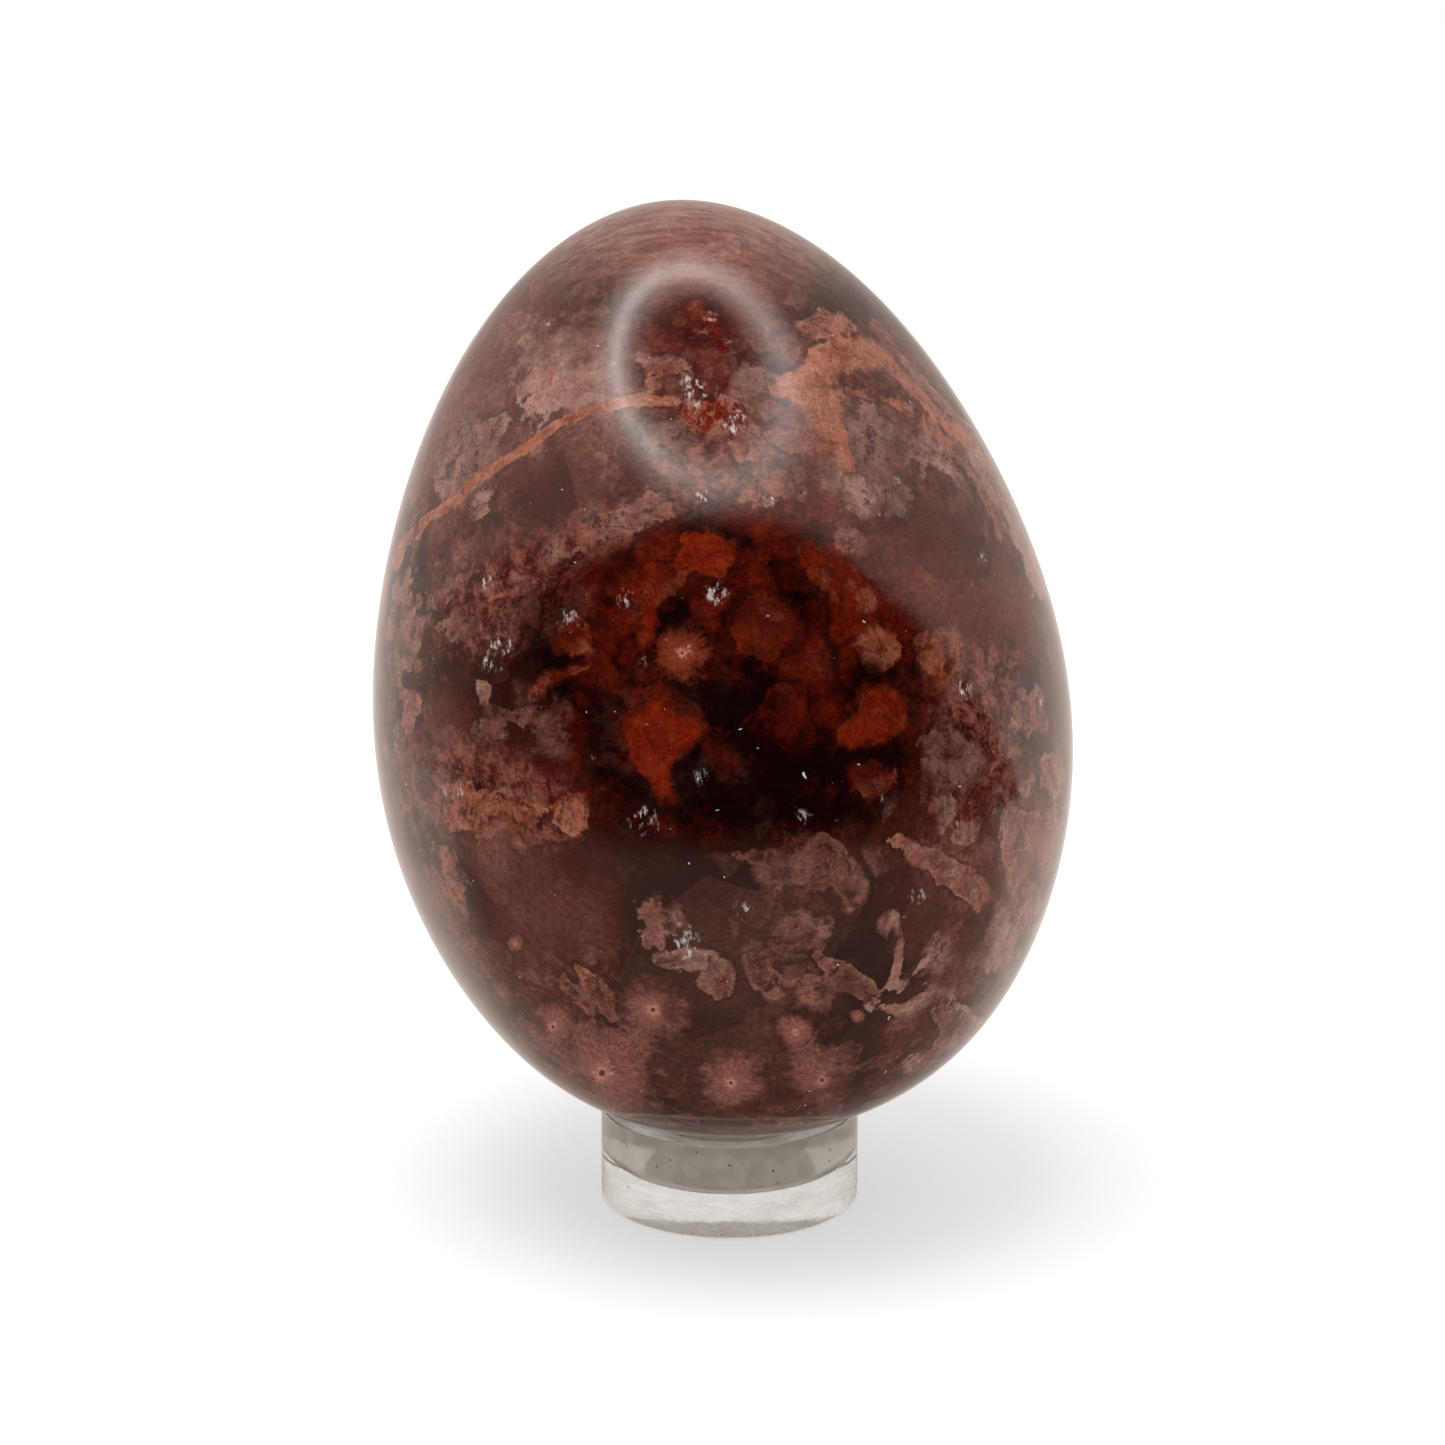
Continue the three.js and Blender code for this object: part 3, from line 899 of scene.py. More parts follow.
@dataclass
class StonePattern:
    """Where each mark lies on the stone, kept in the mesh's attributes for the material.

    A mark is held back near its sight's outline, where a pixel covers much stone, and the other
    sights' marks are held back where the photograph sees the stone. The margins are how
    squarely the stone faces a sight there, and the rates are millimetres.
    """

    sets: tuple[MarkSet, ...]
    edge_margin: float = 0.14
    side_margin: float = 0.30
    hold: float = 40.0
    nowhere: float = 50.0
    reach: float = 12.0

    def write(self, mesh: bpy.types.Mesh) -> None:
        """Writes the attributes.

        Args:
            mesh: The stone's mesh.
        """
        count = len(mesh.vertices)
        points, normals = np.empty(count * 3, np.float32), np.empty(count * 3, np.float32)
        mesh.vertices.foreach_get("co", points)
        mesh.vertices.foreach_get("normal", normals)
        points, normals = points.reshape(-1, 3).astype(float), normals.reshape(-1, 3).astype(float)
        layers = {
            "fragment": np.column_stack((np.full(count, self.nowhere), np.full((count, 2), 0.3))),
            "flower": np.column_stack((np.ones((count, 2)), np.full(count, self.nowhere))),
            "zones": np.full((count, 3), self.nowhere),
            "wash": np.zeros((count, 3)),
        }
        photo = self.sets[0].sight.facing(points, normals)
        for marks in self.sets:
            facing = marks.sight.facing(points, normals)
            if marks is self.sets[0]:
                held = self.hold * np.clip(self.edge_margin - facing, 0, None)
            else:
                held = self.hold * np.clip(self.side_margin - facing, 0, None)
                held += self.hold * np.clip(photo - self.edge_margin, 0, None)
            near = held < self.reach
            pixels, held = marks.sight.project(points[near]), held[near]
            parts = {name: values[near] for name, values in layers.items()}
            self._lay(marks, pixels, held, parts)
            for name, values in layers.items():
                values[near] = parts[name]
        for name, values in layers.items():
            layer = mesh.attributes.new(name, "FLOAT_VECTOR", "POINT")
            layer.data.foreach_set("vector", values.astype(np.float32).ravel())

    def _lay(
        self, marks: MarkSet, pixels: np.ndarray, held: np.ndarray, parts: dict[str, np.ndarray]
    ) -> None:
        """Lays one sight's marks over what is there.

        Args:
            marks: The sight's marks.
            pixels: Where the stone's vertices are in its picture.
            held: How far the marks are held back at each.
            parts: The attributes' values at each, which it changes.
        """
        scale = marks.sight.scale
        for mark in marks.fragments:
            away = mark.distance(pixels, scale) + held
            nearer = away < parts["fragment"][:, 0]
            tone = np.full((nearer.sum(), 2), mark.tone.value)
            parts["fragment"][nearer] = np.column_stack((away[nearer], tone))
        for bloom in marks.flowers:
            spread = bloom.spread(pixels, scale)
            spread[:, 2] += held
            nearer = spread[:, 2] < parts["flower"][:, 2]
            parts["flower"][nearer] = spread[nearer]
        for column, outlines in enumerate((marks.depths, marks.crumbs)):
            for outline in outlines:
                away = outline_distance(pixels, outline) / scale + held
                parts["zones"][:, column] = np.minimum(parts["zones"][:, column], away)
        for centre, radius in marks.crystals:
            away = np.hypot(*(pixels - np.asarray(centre)).T) / scale - radius + held
            parts["zones"][:, 2] = np.minimum(parts["zones"][:, 2], away)
        for wash in marks.washes:
            away = np.hypot(*(pixels - np.asarray(wash.centre)).T) / scale + held
            parts["wash"][:, 0] += wash.amount * np.exp(-((away / wash.radius) ** 2))
            parts["wash"][:, 1] += wash.calm * np.exp(-((away / wash.radius) ** 2))


@dataclass
class PolishedStone:
    """Brecciated jasper, sawn, ground and polished to a wet-looking gloss.

    Pink and orange fragments lie in a dark mauve ground that turns clear and nearly black in
    places. Every size is in millimetres, and each layer is laid over the colour so far.
    """

    ground_dark: str = "#2e0b07"
    ground: str = "#552019"
    ground_pale: str = "#875346"
    deep: str = "#130403"
    deep_red: str = "#470c05"
    deep_glow: str = "#611606"
    tan: str = "#a87b6e"
    pink: str = "#8f5549"
    salmon: str = "#b0664b"
    rust: str = "#661506"
    ember: str = "#781a06"
    flame: str = "#85300f"
    rim: str = "#b98874"
    fibre_dull: str = "#6e3a33"
    fibre_pale: str = "#aa6c5c"
    heart: str = "#d8927a"
    # A white for the white crystals, which also paints highlights on nicks and chips.
    white_crystal_and_glint: str = "#d8cbc6"
    # A white for painted highlights on small chips.
    painted_glint: str = "#f2ecea"
    streak_dull: str = "#7c4c40"
    streak_pale: str = "#aa8071"
    warmth: str = "#ffcfc0"
    ior: float = 1.54
    swirl_size: float = 6.0
    curl_size: float = 1.6
    cloud_size: float = 14.0
    facet_size: float = 10.0
    moss_size: float = 3.4
    lump_size: float = 4.5
    crumb_size: float = 1.5
    chip_size: float = 3.0
    grain_size: float = 0.34
    ragged_size: float = 2.6
    fine_size: float = 0.6
    glow_size: float = 5.0
    drift_size: float = 9.0
    chip_drift_size: float = 11.0
    blur_size: float = 7.0
    sunk_size: float = 5.0
    warm_size: float = 3.0
    mottle_size: float = 1.7
    fold_size: float = 3.2
    rim_gap_size: float = 2.2
    fade_size: float = 4.0
    streak_length: float = 5.0
    streak_width: float = 0.9
    hairline_length: float = 3.0
    hairline_width: float = 0.3
    wisp_length: float = 1.1
    wisp_width: float = 0.5
    polish_ripple: float = 0.007
    crystal_relief: float = 0.04
    streaks_from: float = 90.0
    streaks_full: float = 97.0
    add: Adder = field(init=False)
    grid: Socket = field(init=False)
    bent: Socket = field(init=False)
    curled: Socket = field(init=False)
    ragged: Socket = field(init=False)
    fine: Socket = field(init=False)
    wash: Socket = field(init=False)
    busy: Socket = field(init=False)
    zones: bpy.types.NodeOutputs = field(init=False)
    colour: Socket = field(init=False)
    depth: Socket = field(init=False)
    crystal_and_glint: Socket = field(init=False)

    def build(self) -> bpy.types.Material:
        """Builds the material.

        Returns:
            The finished material.
        """
        material, self.add = start_material("polished_jasper")
        add = self.add
        # One unit of the pattern's own space is a millimetre.
        self.grid = add(SCALE, add(PLACE, output="Object"), 1 / MM)
        self.bent = self._stirred(self.grid, self.swirl_size, 3.0, 4.0)
        self.curled = self._stirred(self.bent, self.curl_size, 2.0, 1.8)
        self.ragged = add(NOISE, self.grid, 1 / self.ragged_size, 9.0, 0.68)
        self.fine = add(NOISE, self.grid, 1 / self.fine_size, 5.0, 0.65)
        self.zones = self._attribute("zones")
        washes = self._attribute("wash")
        self.wash = washes["X"]
        self.busy = add(RANGE, washes["Y"], 0.0, 1.0, 1.0, 0.08)
        for layer in (
            self._ground,
            self._tip_streaks,
            self._depths,
            self._crumbs,
            self._chips,
            self._fragments,
            self._flowers,
            self._grain,
            self._specks,
            self._crystals,
        ):
            layer()
        # Hand polish leaves ripples of a few thousandths of a millimetre, which break up highlights.
        peel = add(BUMP, 1.0, self.polish_ripple * MM, named={"Height": self.fine})
        relief = {"Height": self.crystal_and_glint, "Normal": peel}
        relief = add(BUMP, 0.3, self.crystal_relief * MM, named=relief)
        gloss = add(MULTIPLY_ADD, self.crystal_and_glint, 0.2, add(RANGE, self.fine, 0.3, 0.75, 0.05, 0.11))
        look = {"Base Color": self.colour, "Roughness": gloss, "IOR": self.ior, "Normal": relief}
        add(OUTPUT, add(PRINCIPLED, named=look))
        return material

    def _attribute(self, name: str) -> bpy.types.NodeOutputs:
        """Reads a vector attribute of the mesh and splits it."""
        marks = self.add(ATTRIBUTE, output="Vector", attribute_name=name)
        return self.add(SPLIT, marks).node.outputs

    def _stirred(self, space: Socket, size: float, detail: float, reach: float) -> Socket:
        """Stirs a space by a noise.

        Args:
            space: The space.
            size: The noise's size.
            detail: How many finer octaves the noise has.
            reach: How far the whole range of the noise moves a point.

        Returns:
            The stirred space.
        """
        swirl = self.add(NOISE, space, 1 / size, detail, output="Color")
        swirl = self.add(VECTOR_SUBTRACT, swirl, (0.5,) * 3)
        return self.add(VECTOR_MULTIPLY_ADD, swirl, (reach,) * 3, space)

    def _shifted(self, signal: Socket, noise: Socket, reach: float) -> Socket:
        """Shifts a signal by a noise's whole range, which makes the edge that it draws ragged."""
        return self.add(MULTIPLY_ADD, self.add(SUBTRACT, noise, 0.5), reach, signal)

    def _over(
        self, under: Paint, over: Paint, signal: Socket, *span: float, kind: Kind = SMOOTH
    ) -> Socket:
        """Lays a colour over another between a signal's two values, then how much shows at each."""
        return self.add(BLEND, self.add(kind, signal, *span), under, over)

    def _ground(self) -> None:
        """Colours the ground: broad clouds, straight-edged facets and a mossy grain."""
        add, over = self.add, self._over
        broad = add(MULTIPLY_ADD, self.wash, 0.22, add(NOISE, self.grid, 1 / self.cloud_size, 4.0))
        colour = over(self.ground_dark, self.ground, broad, 0.32, 0.62)
        colour = over(colour, self.ground_pale, broad, 0.52, 0.86, 0.0, 0.75)
        facets = add(CELLS, self.grid, 1 / self.facet_size)
        tint = add(CHANNELS, facets.node.outputs["Color"])
        tint = add(ADD, tint, add(RANGE, facets, 0.1, 0.7, 0.2, -0.1))
        colour = over(colour, self.ground_pale, tint, 0.5, 1.1, 0.0, 0.28, kind=RANGE)
        colour = over(colour, self.ground_dark, tint, 0.5, 0.0, 0.0, 0.35, kind=RANGE)
        moss = add(NOISE, self.curled, 1 / self.moss_size, 9.0, 0.72)
        moss = add(SMOOTH, add(MULTIPLY_ADD, self.wash, 0.1, moss), 0.5, 0.66, 0.0, 0.85)
        colour = add(BLEND, add(MULTIPLY, moss, self.busy), colour, self.ground_pale)
        self.colour = over(colour, self.ground_dark, self.fine, 0.4, 0.56, 0.4, 0.0, kind=RANGE)

    def _tip_streaks(self) -> None:
        """Lays the thin pale layers that cross the tip from left to right."""
        scale = (1 / self.streak_length, *(1 / self.streak_width,) * 2)
        band = self.add(MAPPING, self.grid, None, (0.0, 0.12, 0.1), scale)
        band = self.add(NOISE, band, 1.0, 6.0, 0.62)
        streak = self._over(self.streak_dull, self.streak_pale, band, 0.36, 0.66)
        height = self.add(SPLIT, self.grid, output="Z")
        span = (self.streaks_from, self.streaks_full, 0.0, 0.75)
        self.colour = self._over(self.colour, streak, height, *span)

    def _depths(self) -> None:
        """Darkens the clear stone, through which one looks into black, red and dull orange."""
        add, over = self.add, self._over
        self.depth = add(SMOOTH, self._shifted(self.zones["X"], self.ragged, 8.0), 2.6, -1.8)
        glow = add(MULTIPLY_ADD, self.wash, 0.12, add(NOISE, self.bent, 1 / self.glow_size, 8.0, 0.66))
        lumps = add(CHANNELS, add(CELLS, self.curled, 1 / self.lump_size, output="Color"))
        stops = (
            (0.38, self.deep),
            (0.5, self.deep_red),
            (0.62, self.deep_glow),
            (0.74, self.rust),
            (0.84, self.ember),
        )
        deep = add(RAMP, self._shifted(glow, lumps, 0.24), stops=stops)
        cracks = add(SMOOTH, add(CELL_EDGES, self.curled, 1 / self.lump_size), 0.2, 0.0)
        broken = add(SMOOTH, self.ragged, 0.42, 0.58, 0.15, 0.85)
        deep = add(BLEND, add(MULTIPLY, cracks, broken), deep, self.deep)
        deep = over(deep, self.deep, self.fine, 0.42, 0.58, 0.45, 0.0, kind=RANGE)
        near = add(SMOOTH, self.zones["X"], 12.0, -1.0, 0.0, 0.8)
        self.colour = add(BLEND, self.depth, add(TINT, near, self.colour, self.warmth), deep)

    def _crumbs(self) -> None:
        """Adds masses of crumbs about a millimetre across, and thinly also elsewhere."""
        add = self.add
        stops = (
            (0.37, self.ground_dark),
            (0.46, self.ground),
            (0.55, self.pink),
            (0.63, self.salmon),
            (0.74, self.rim),
        )
        bits = add(RAMP, add(NOISE, self.grid, 1 / self.crumb_size, 9.0, 0.78, 2.1, 0.4), stops=stops)
        share = self._shifted(self.zones["Y"], self.ragged, 7.0)
        share = add(SMOOTH, share, 1.2, -1.6, 0.0, 0.7)
        drift = add(SMOOTH, add(NOISE, self.bent, 1 / self.drift_size, 3.0), 0.5, 0.66, 0.0, 0.55)
        share = add(MAXIMUM, share, add(MULTIPLY, drift, self.busy))
        share = add(MULTIPLY, share, add(RANGE, self.depth, 0.0, 1.0, 1.0, 0.2))
        self.colour = add(BLEND, share, self.colour, bits)

    def _chips(self) -> None:
        """Scatters small chips between the fragments, in drifts."""
        add, over = self.add, self._over
        pick = add(CHANNELS, add(CELLS, self.bent, 1 / self.chip_size, output="Color"))
        chance = add(MULTIPLY_ADD, add(NOISE, self.grid, 1 / self.chip_drift_size, 2.0), 1.1, pick)
        edge = self._shifted(add(CELL_EDGES, self.bent, 1 / self.chip_size), self.ragged, -0.9)
        share = add(RANGE, chance, 1.24, 1.4, 0.0, 0.6)
        share = add(MULTIPLY, share, add(SMOOTH, edge, 0.06, 0.2))
        share = add(MULTIPLY, share, add(RANGE, self.depth, 0.0, 1.0, 1.0, 0.0))
        share = add(MULTIPLY, share, self.busy)
        stops = ((0.1, self.ground_pale), (0.5, self.pink), (0.9, self.tan))
        fill = add(RAMP, pick.node.outputs["Green"], stops=stops)
        fill = over(fill, self.rim, edge, 0.3, 0.1, 0.0, 0.5)
        fill = over(fill, self.ground, self.fine, 0.56, 0.4, 0.0, 0.6)
        self.colour = add(BLEND, share, self.colour, fill)

    def _fragments(self) -> None:
        """Fills the fragments and veins, with a broken pale rim and a dark line outside."""
        add, over = self.add, self._over
        marks = self._attribute("fragment")
        edge, light = self._shifted(marks["X"], self.ragged, 5.5), marks["Z"]
        blur = add(SMOOTH, add(NOISE, self.bent, 1 / self.blur_size), 0.4, 0.62, 0.25, 1.7)
        sunk = add(SMOOTH, add(NOISE, self.grid, 1 / self.sunk_size, 3.0), 0.36, 0.56, light, 1.0)
        share = add(MULTIPLY, add(SMOOTH, edge, blur, add(MULTIPLY, blur, -0.6)), sunk)
        stops = (
            (0.05, self.tan),
            (0.3, self.pink),
            (0.55, self.salmon),
            (0.76, self.rust),
            (0.9, self.ember),
            (1.0, self.flame),
        )
        warm = self._shifted(marks["Y"], add(NOISE, self.curled, 1 / self.warm_size, 5.0, 0.6), 0.9)
        fill = over(add(RAMP, warm, stops=stops), self.ground_dark, light, 0.8, 0.1, 0.0, 0.6, kind=RANGE)
        steady = add(RANGE, light, 0.7, 0.95, 1.0, 0.45)
        inner = add(MULTIPLY, add(SMOOTH, edge, -0.1, -2.2, 0.0, 0.34), steady)
        fill = add(BLEND, inner, fill, self.ground)
        mottle = add(NOISE, self.curled, 1 / self.mottle_size, 9.0, 0.74)
        dark = add(MULTIPLY, add(SMOOTH, mottle, 0.52, 0.4, 0.0, 0.8), steady)
        fill = add(BLEND, dark, fill, add(BLEND, self.depth, self.ground_dark, self.deep_red))
        bold = add(RANGE, light, 0.2, 0.8, 0.3, 1.0)
        folds = add(SUBTRACT, add(NOISE, self.curled, 1 / self.fold_size, 3.0, 0.6, 2.3), 0.5)
        folds = add(SMOOTH, add(ABSOLUTE, folds), 0.022, 0.0, 0.0, 0.5)
        folds = add(MAXIMUM, add(SMOOTH, mottle, 0.52, 0.64, 0.0, 0.5), folds)
        pale = add(BLEND, self.depth, self.rim, self.flame)
        fill = add(BLEND, add(MULTIPLY, folds, bold), fill, pale)
        broken = add(SMOOTH, add(NOISE, self.grid, 1 / self.rim_gap_size, 6.0, 0.7), 0.48, 0.6)
        rim = add(MULTIPLY, add(SMOOTH, edge, -0.5, -0.05, 0.0, 0.75), broken)
        fill = add(BLEND, add(MULTIPLY, rim, bold), fill, pale)
        colour = over(self.colour, self.ground_dark, edge, 1.4, 0.1, 0.0, 0.6)
        self.colour = add(BLEND, share, colour, fill)

    def _flowers(self) -> None:
        """Draws the round growths: a disc of fibres with a small bright star and a dark surround."""
        add, over = self.add, self._over
        bloom = self._attribute("flower")
        flat = add(JOIN, bloom["X"], bloom["Y"])
        # Between two flowers the offsets pass through nought, and the distance doesn't.
        out = add(MAXIMUM, add(LENGTH, flat), add(MULTIPLY_ADD, bloom["Z"], 0.9, -0.12))
        ray = add(VECTOR_MULTIPLY_ADD, add(NORMALIZE, flat), (8.0,) * 3, self.grid)
        ray = add(VECTOR_MULTIPLY_ADD, flat, (-1.5,) * 3, ray)
        fibre = add(NOISE, ray, 1.6, 4.0, 0.6)
        reach = self._shifted(out, fibre, 1.1)
        petal = over(self.fibre_dull, self.fibre_pale, fibre, 0.4, 0.62)
        petal = over(petal, self.fibre_pale, reach, 0.75, 0.0, 0.0, 0.6, kind=RANGE)
        petal = over(petal, self.flame, self.depth, 0.0, 0.6, 0.0, 0.8, kind=RANGE)
        uneven = self._shifted(reach, self.ragged, 2.2)
        colour = over(self.colour, self.ground_dark, uneven, 1.6, 1.0, 0.0, 0.4)
        fade = add(SMOOTH, add(NOISE, self.bent, 1 / self.fade_size, 3.0), 0.36, 0.54, 0.35, 1.0)
        share = add(MULTIPLY, add(SMOOTH, uneven, 1.15, 0.6, 0.0, 0.8), fade)
        colour = over(add(BLEND, share, colour, petal), self.heart, reach, 0.2, 0.02, 0.0, 0.95)
        self.colour = over(colour, self.deep_red, out, 0.075, 0.04, 0.0, 0.9)

    def _grain(self) -> None:
        """Varies the whole by a fine grain and by short hairlines."""
        add = self.add
        grain = add(RANGE, add(NOISE, self.grid, 1 / self.grain_size, 3.0, 0.7), 0.3, 0.7, 0.76, 1.26)
        along = (1 / self.hairline_length, *(1 / self.hairline_width,) * 2)
        lines = add(NOISE, add(MAPPING, self.bent, None, (0.0, -0.7, 0.3), along), 1.0, 3.0, 0.6)
        lines = add(RANGE, lines, 0.3, 0.7, 0.84, 1.2)
        self.colour = add(SCALE, self.colour, add(MULTIPLY, grain, lines))

    def _specks(self) -> None:
        """Sprinkles dark pits, and white painted highlights with painted shadows, of two to four tenths of
        a millimetre.
        """
        add = self.add
        # Each white kind is a painted highlight over a larger dark kind set a little off it, which is its
        # painted shadow; the first kind is dark pits alone.
        # The spacing and size of each kind, how rare it is, its colour and its offset.
        kinds = (
            (1.9, 0.1, 0.7, self.deep, 0.0),
            (3.6, 0.07, 0.4, self.deep, 0.2),
            (3.6, 0.055, 0.4, self.painted_glint, 0.0),
            (1.3, 0.14, 0.8, self.deep, 0.13),
            (1.3, 0.1, 0.8, self.white_crystal_and_glint, 0.0),
        )
        for spacing, size, rare, shade, aside in kinds:
            moved = add(VECTOR_ADD, self.curled, (aside, 0.0, aside))
            dots = add(CELLS, moved, 1 / spacing)
            pick = add(RANGE, add(CHANNELS, dots.node.outputs["Color"]), rare, 1.0, 0.0, 0.9)
            share = add(MULTIPLY, add(SMOOTH, dots, size, size / 2), pick)
            self.colour = add(BLEND, share, self.colour, shade)

    def _crystals(self) -> None:
        """Sets clusters of white wisps half a millimetre long, as white crystals and as painted highlights
        on a few nicks.
        """
        add = self.add
        scale = (*(1 / self.wisp_width,) * 2, 1 / self.wisp_length)
        wisps = add(NOISE, add(MAPPING, self.grid, None, (0.0, 0.3, 0.0), scale), 1.0, 6.0, 0.7)
        edge = self._shifted(self.zones["Z"], self.ragged, 3.0)
        self.crystal_and_glint = add(MULTIPLY, add(SMOOTH, edge, 0.3, -0.5), add(SMOOTH, wisps, 0.5, 0.64))
        self.colour = add(BLEND, self.crystal_and_glint, self.colour, self.white_crystal_and_glint)


@dataclass(frozen=True)
class ClearAcrylic:
    """Cast acrylic that has been handled: clear, with a milky haze, smears and a little dust."""

    colour: str = "#f6f1eb"
    dust: str = "#5b564f"
    ior: float = 1.49
    clearest: float = 0.95
    haziest: float = 0.76
    # The recess's colour, painted darker and warmer as the shade under the egg.
    scored_and_shaded: str = "#cfc7b9"
    scored_clear: float = 0.38
    wave_size: float = 2.5
    wave_relief: float = 0.06
    smear_size: float = 2.2
    dust_spacing: float = 1.4

    def build(self, recess: float, floor: float) -> bpy.types.Material:
        """Builds the material.

        Args:
            recess: The radius inside which the turning tool left fine scoring, and the colour is painted
                darker as the shade under the egg.
            floor: The height above which it is.

        Returns:
            The finished material.
        """
        material, add = start_material("clear_acrylic")
        place = add(PLACE, output="Object")
        grid = add(SCALE, place, 1 / MM)
        wave = add(NOISE, grid, 1 / self.wave_size, 4.0)
        relief = add(BUMP, 0.35, self.wave_relief * MM, named={"Height": wave})
        smear = add(NOISE, grid, 1 / self.smear_size, 7.0, 0.68)
        clear = add(SMOOTH, smear, 0.38, 0.64, self.clearest, self.haziest)
        rough = add(RANGE, smear, 0.4, 0.7, 0.01, 0.12)
        dots = add(CELLS, grid, 1 / self.dust_spacing)
        pick = add(RANGE, add(CHANNELS, dots.node.outputs["Color"]), 0.55, 1.0)
        spot = add(MULTIPLY, add(SMOOTH, dots, 0.13, 0.07), pick)
        clear = add(MULTIPLY, clear, add(RANGE, spot, 0.0, 1.0, 1.0, 0.4))
        inside = add(LENGTH, add(VECTOR_MULTIPLY, place, (1.0, 1.0, 0.0)))
        inside = add(LESS_THAN, inside, recess)
        above = add(GREATER_THAN, add(SPLIT, place, output="Z"), floor)
        # The recess keeps the haze of the turning tool, and its colour is painted darker as the shade under
        # the egg.
        scored_and_shaded = add(MULTIPLY, inside, above)
        colour = add(BLEND, scored_and_shaded, self.colour, self.scored_and_shaded)
        clear = add(MULTIPLY, clear, add(RANGE, scored_and_shaded, 0.0, 1.0, 1.0, self.scored_clear))
        look = {
            "Base Color": add(BLEND, spot, colour, self.dust),
            "Roughness": rough,
            "IOR": self.ior,
            "Transmission Weight": clear,
            "Normal": relief,
        }
        add(OUTPUT, add(PRINCIPLED, named=look))
        return material


@dataclass
class StoneEgg:
    """The polished stone."""

    shape: EggShape = field(default_factory=EggShape)
    finish: PolishedStone = field(default_factory=PolishedStone)

    def build(self, sets: tuple[MarkSet, ...]) -> bpy.types.Object:
        """Builds the stone and its pattern.

        Args:
            sets: The marks of every side, the photograph's first.

        Returns:
            The finished piece.
        """
        mesh = self.shape.mesh("egg_stone", self.finish.build())
        StonePattern(sets).write(mesh)
        piece = link_mesh("egg_stone", mesh)
        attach(piece, "egg")
        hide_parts("stone_egg")
        return piece


@dataclass
class CupStand:
    """The clear stand: the same sizes as the solid, in metres."""

    diameter: float = 25.4 * MM
    height: float = 9.525 * MM
    floor: float = 3.45 * MM
    recess_diameter: float = 17.4 * MM
    recess_fillet: float = 1.1 * MM
    rim_round: float = 0.3 * MM
    foot_round: float = 0.25 * MM
    seat_diameter: float = 22.4 * MM
    seat_depth: float = 0.9 * MM
    crease: float = 0.08 * MM
    segments: int = 288
    steps: int = 10
    finish: ClearAcrylic = field(default_factory=ClearAcrylic)

    def _round(self, radius: float, height: float, size: float, start: float, end: float) -> list[Pair]:
        """Draws an arc about a radius and height, from one angle to another."""
        angles = [start + (end - start) * i / self.steps for i in range(self.steps + 1)]
        return [(radius + size * math.cos(a), height + size * math.sin(a)) for a in angles]

    def profile(self) -> list[Pair]:
        """Draws the outline from the middle of the underside to the middle of the recess.

        Returns:
            Radius and height of each point.
        """
        outer, bore, seat = self.diameter / 2, self.recess_diameter / 2, self.seat_diameter / 2
        foot, rim, fillet = self.foot_round, self.rim_round, self.recess_fillet
        crease, quarter = self.crease, math.pi / 2
        slope = math.hypot(seat - bore, self.seat_depth)
        across, down = (seat - bore) / slope * crease, self.seat_depth / slope * crease
        return [
            (0.0, 0.0),
            (outer - foot - crease, 0.0),
            *self._round(outer - foot, foot, foot, -quarter, 0),
            (outer, foot + crease),
            (outer, self.height - rim - crease),
            *self._round(outer - rim, self.height - rim, rim, 0, quarter),
            (outer - rim - crease, self.height),
            (seat + crease, self.height),
            (seat - across, self.height - down),
            (bore + across, self.height - self.seat_depth + down),
            (bore, self.height - self.seat_depth - crease),
            (bore, self.floor + fillet + crease),
            *self._round(bore - fillet, self.floor + fillet, fillet, 0, -quarter),
            (bore - fillet - crease, self.floor),
            (0.0, self.floor),
        ]

    def build(self) -> bpy.types.Object:
        """Builds the stand.

        Returns:
            The finished piece.
        """
        mesh = turned_mesh("stand_cup", self.profile(), self.segments)
        finish = self.finish.build(self.recess_diameter / 2 + self.crease, self.floor - self.crease)
        mesh.materials.append(finish)
        piece = link_mesh("stand_cup", mesh)
        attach(piece, "stand")
        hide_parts("cup_stand")
        return piece


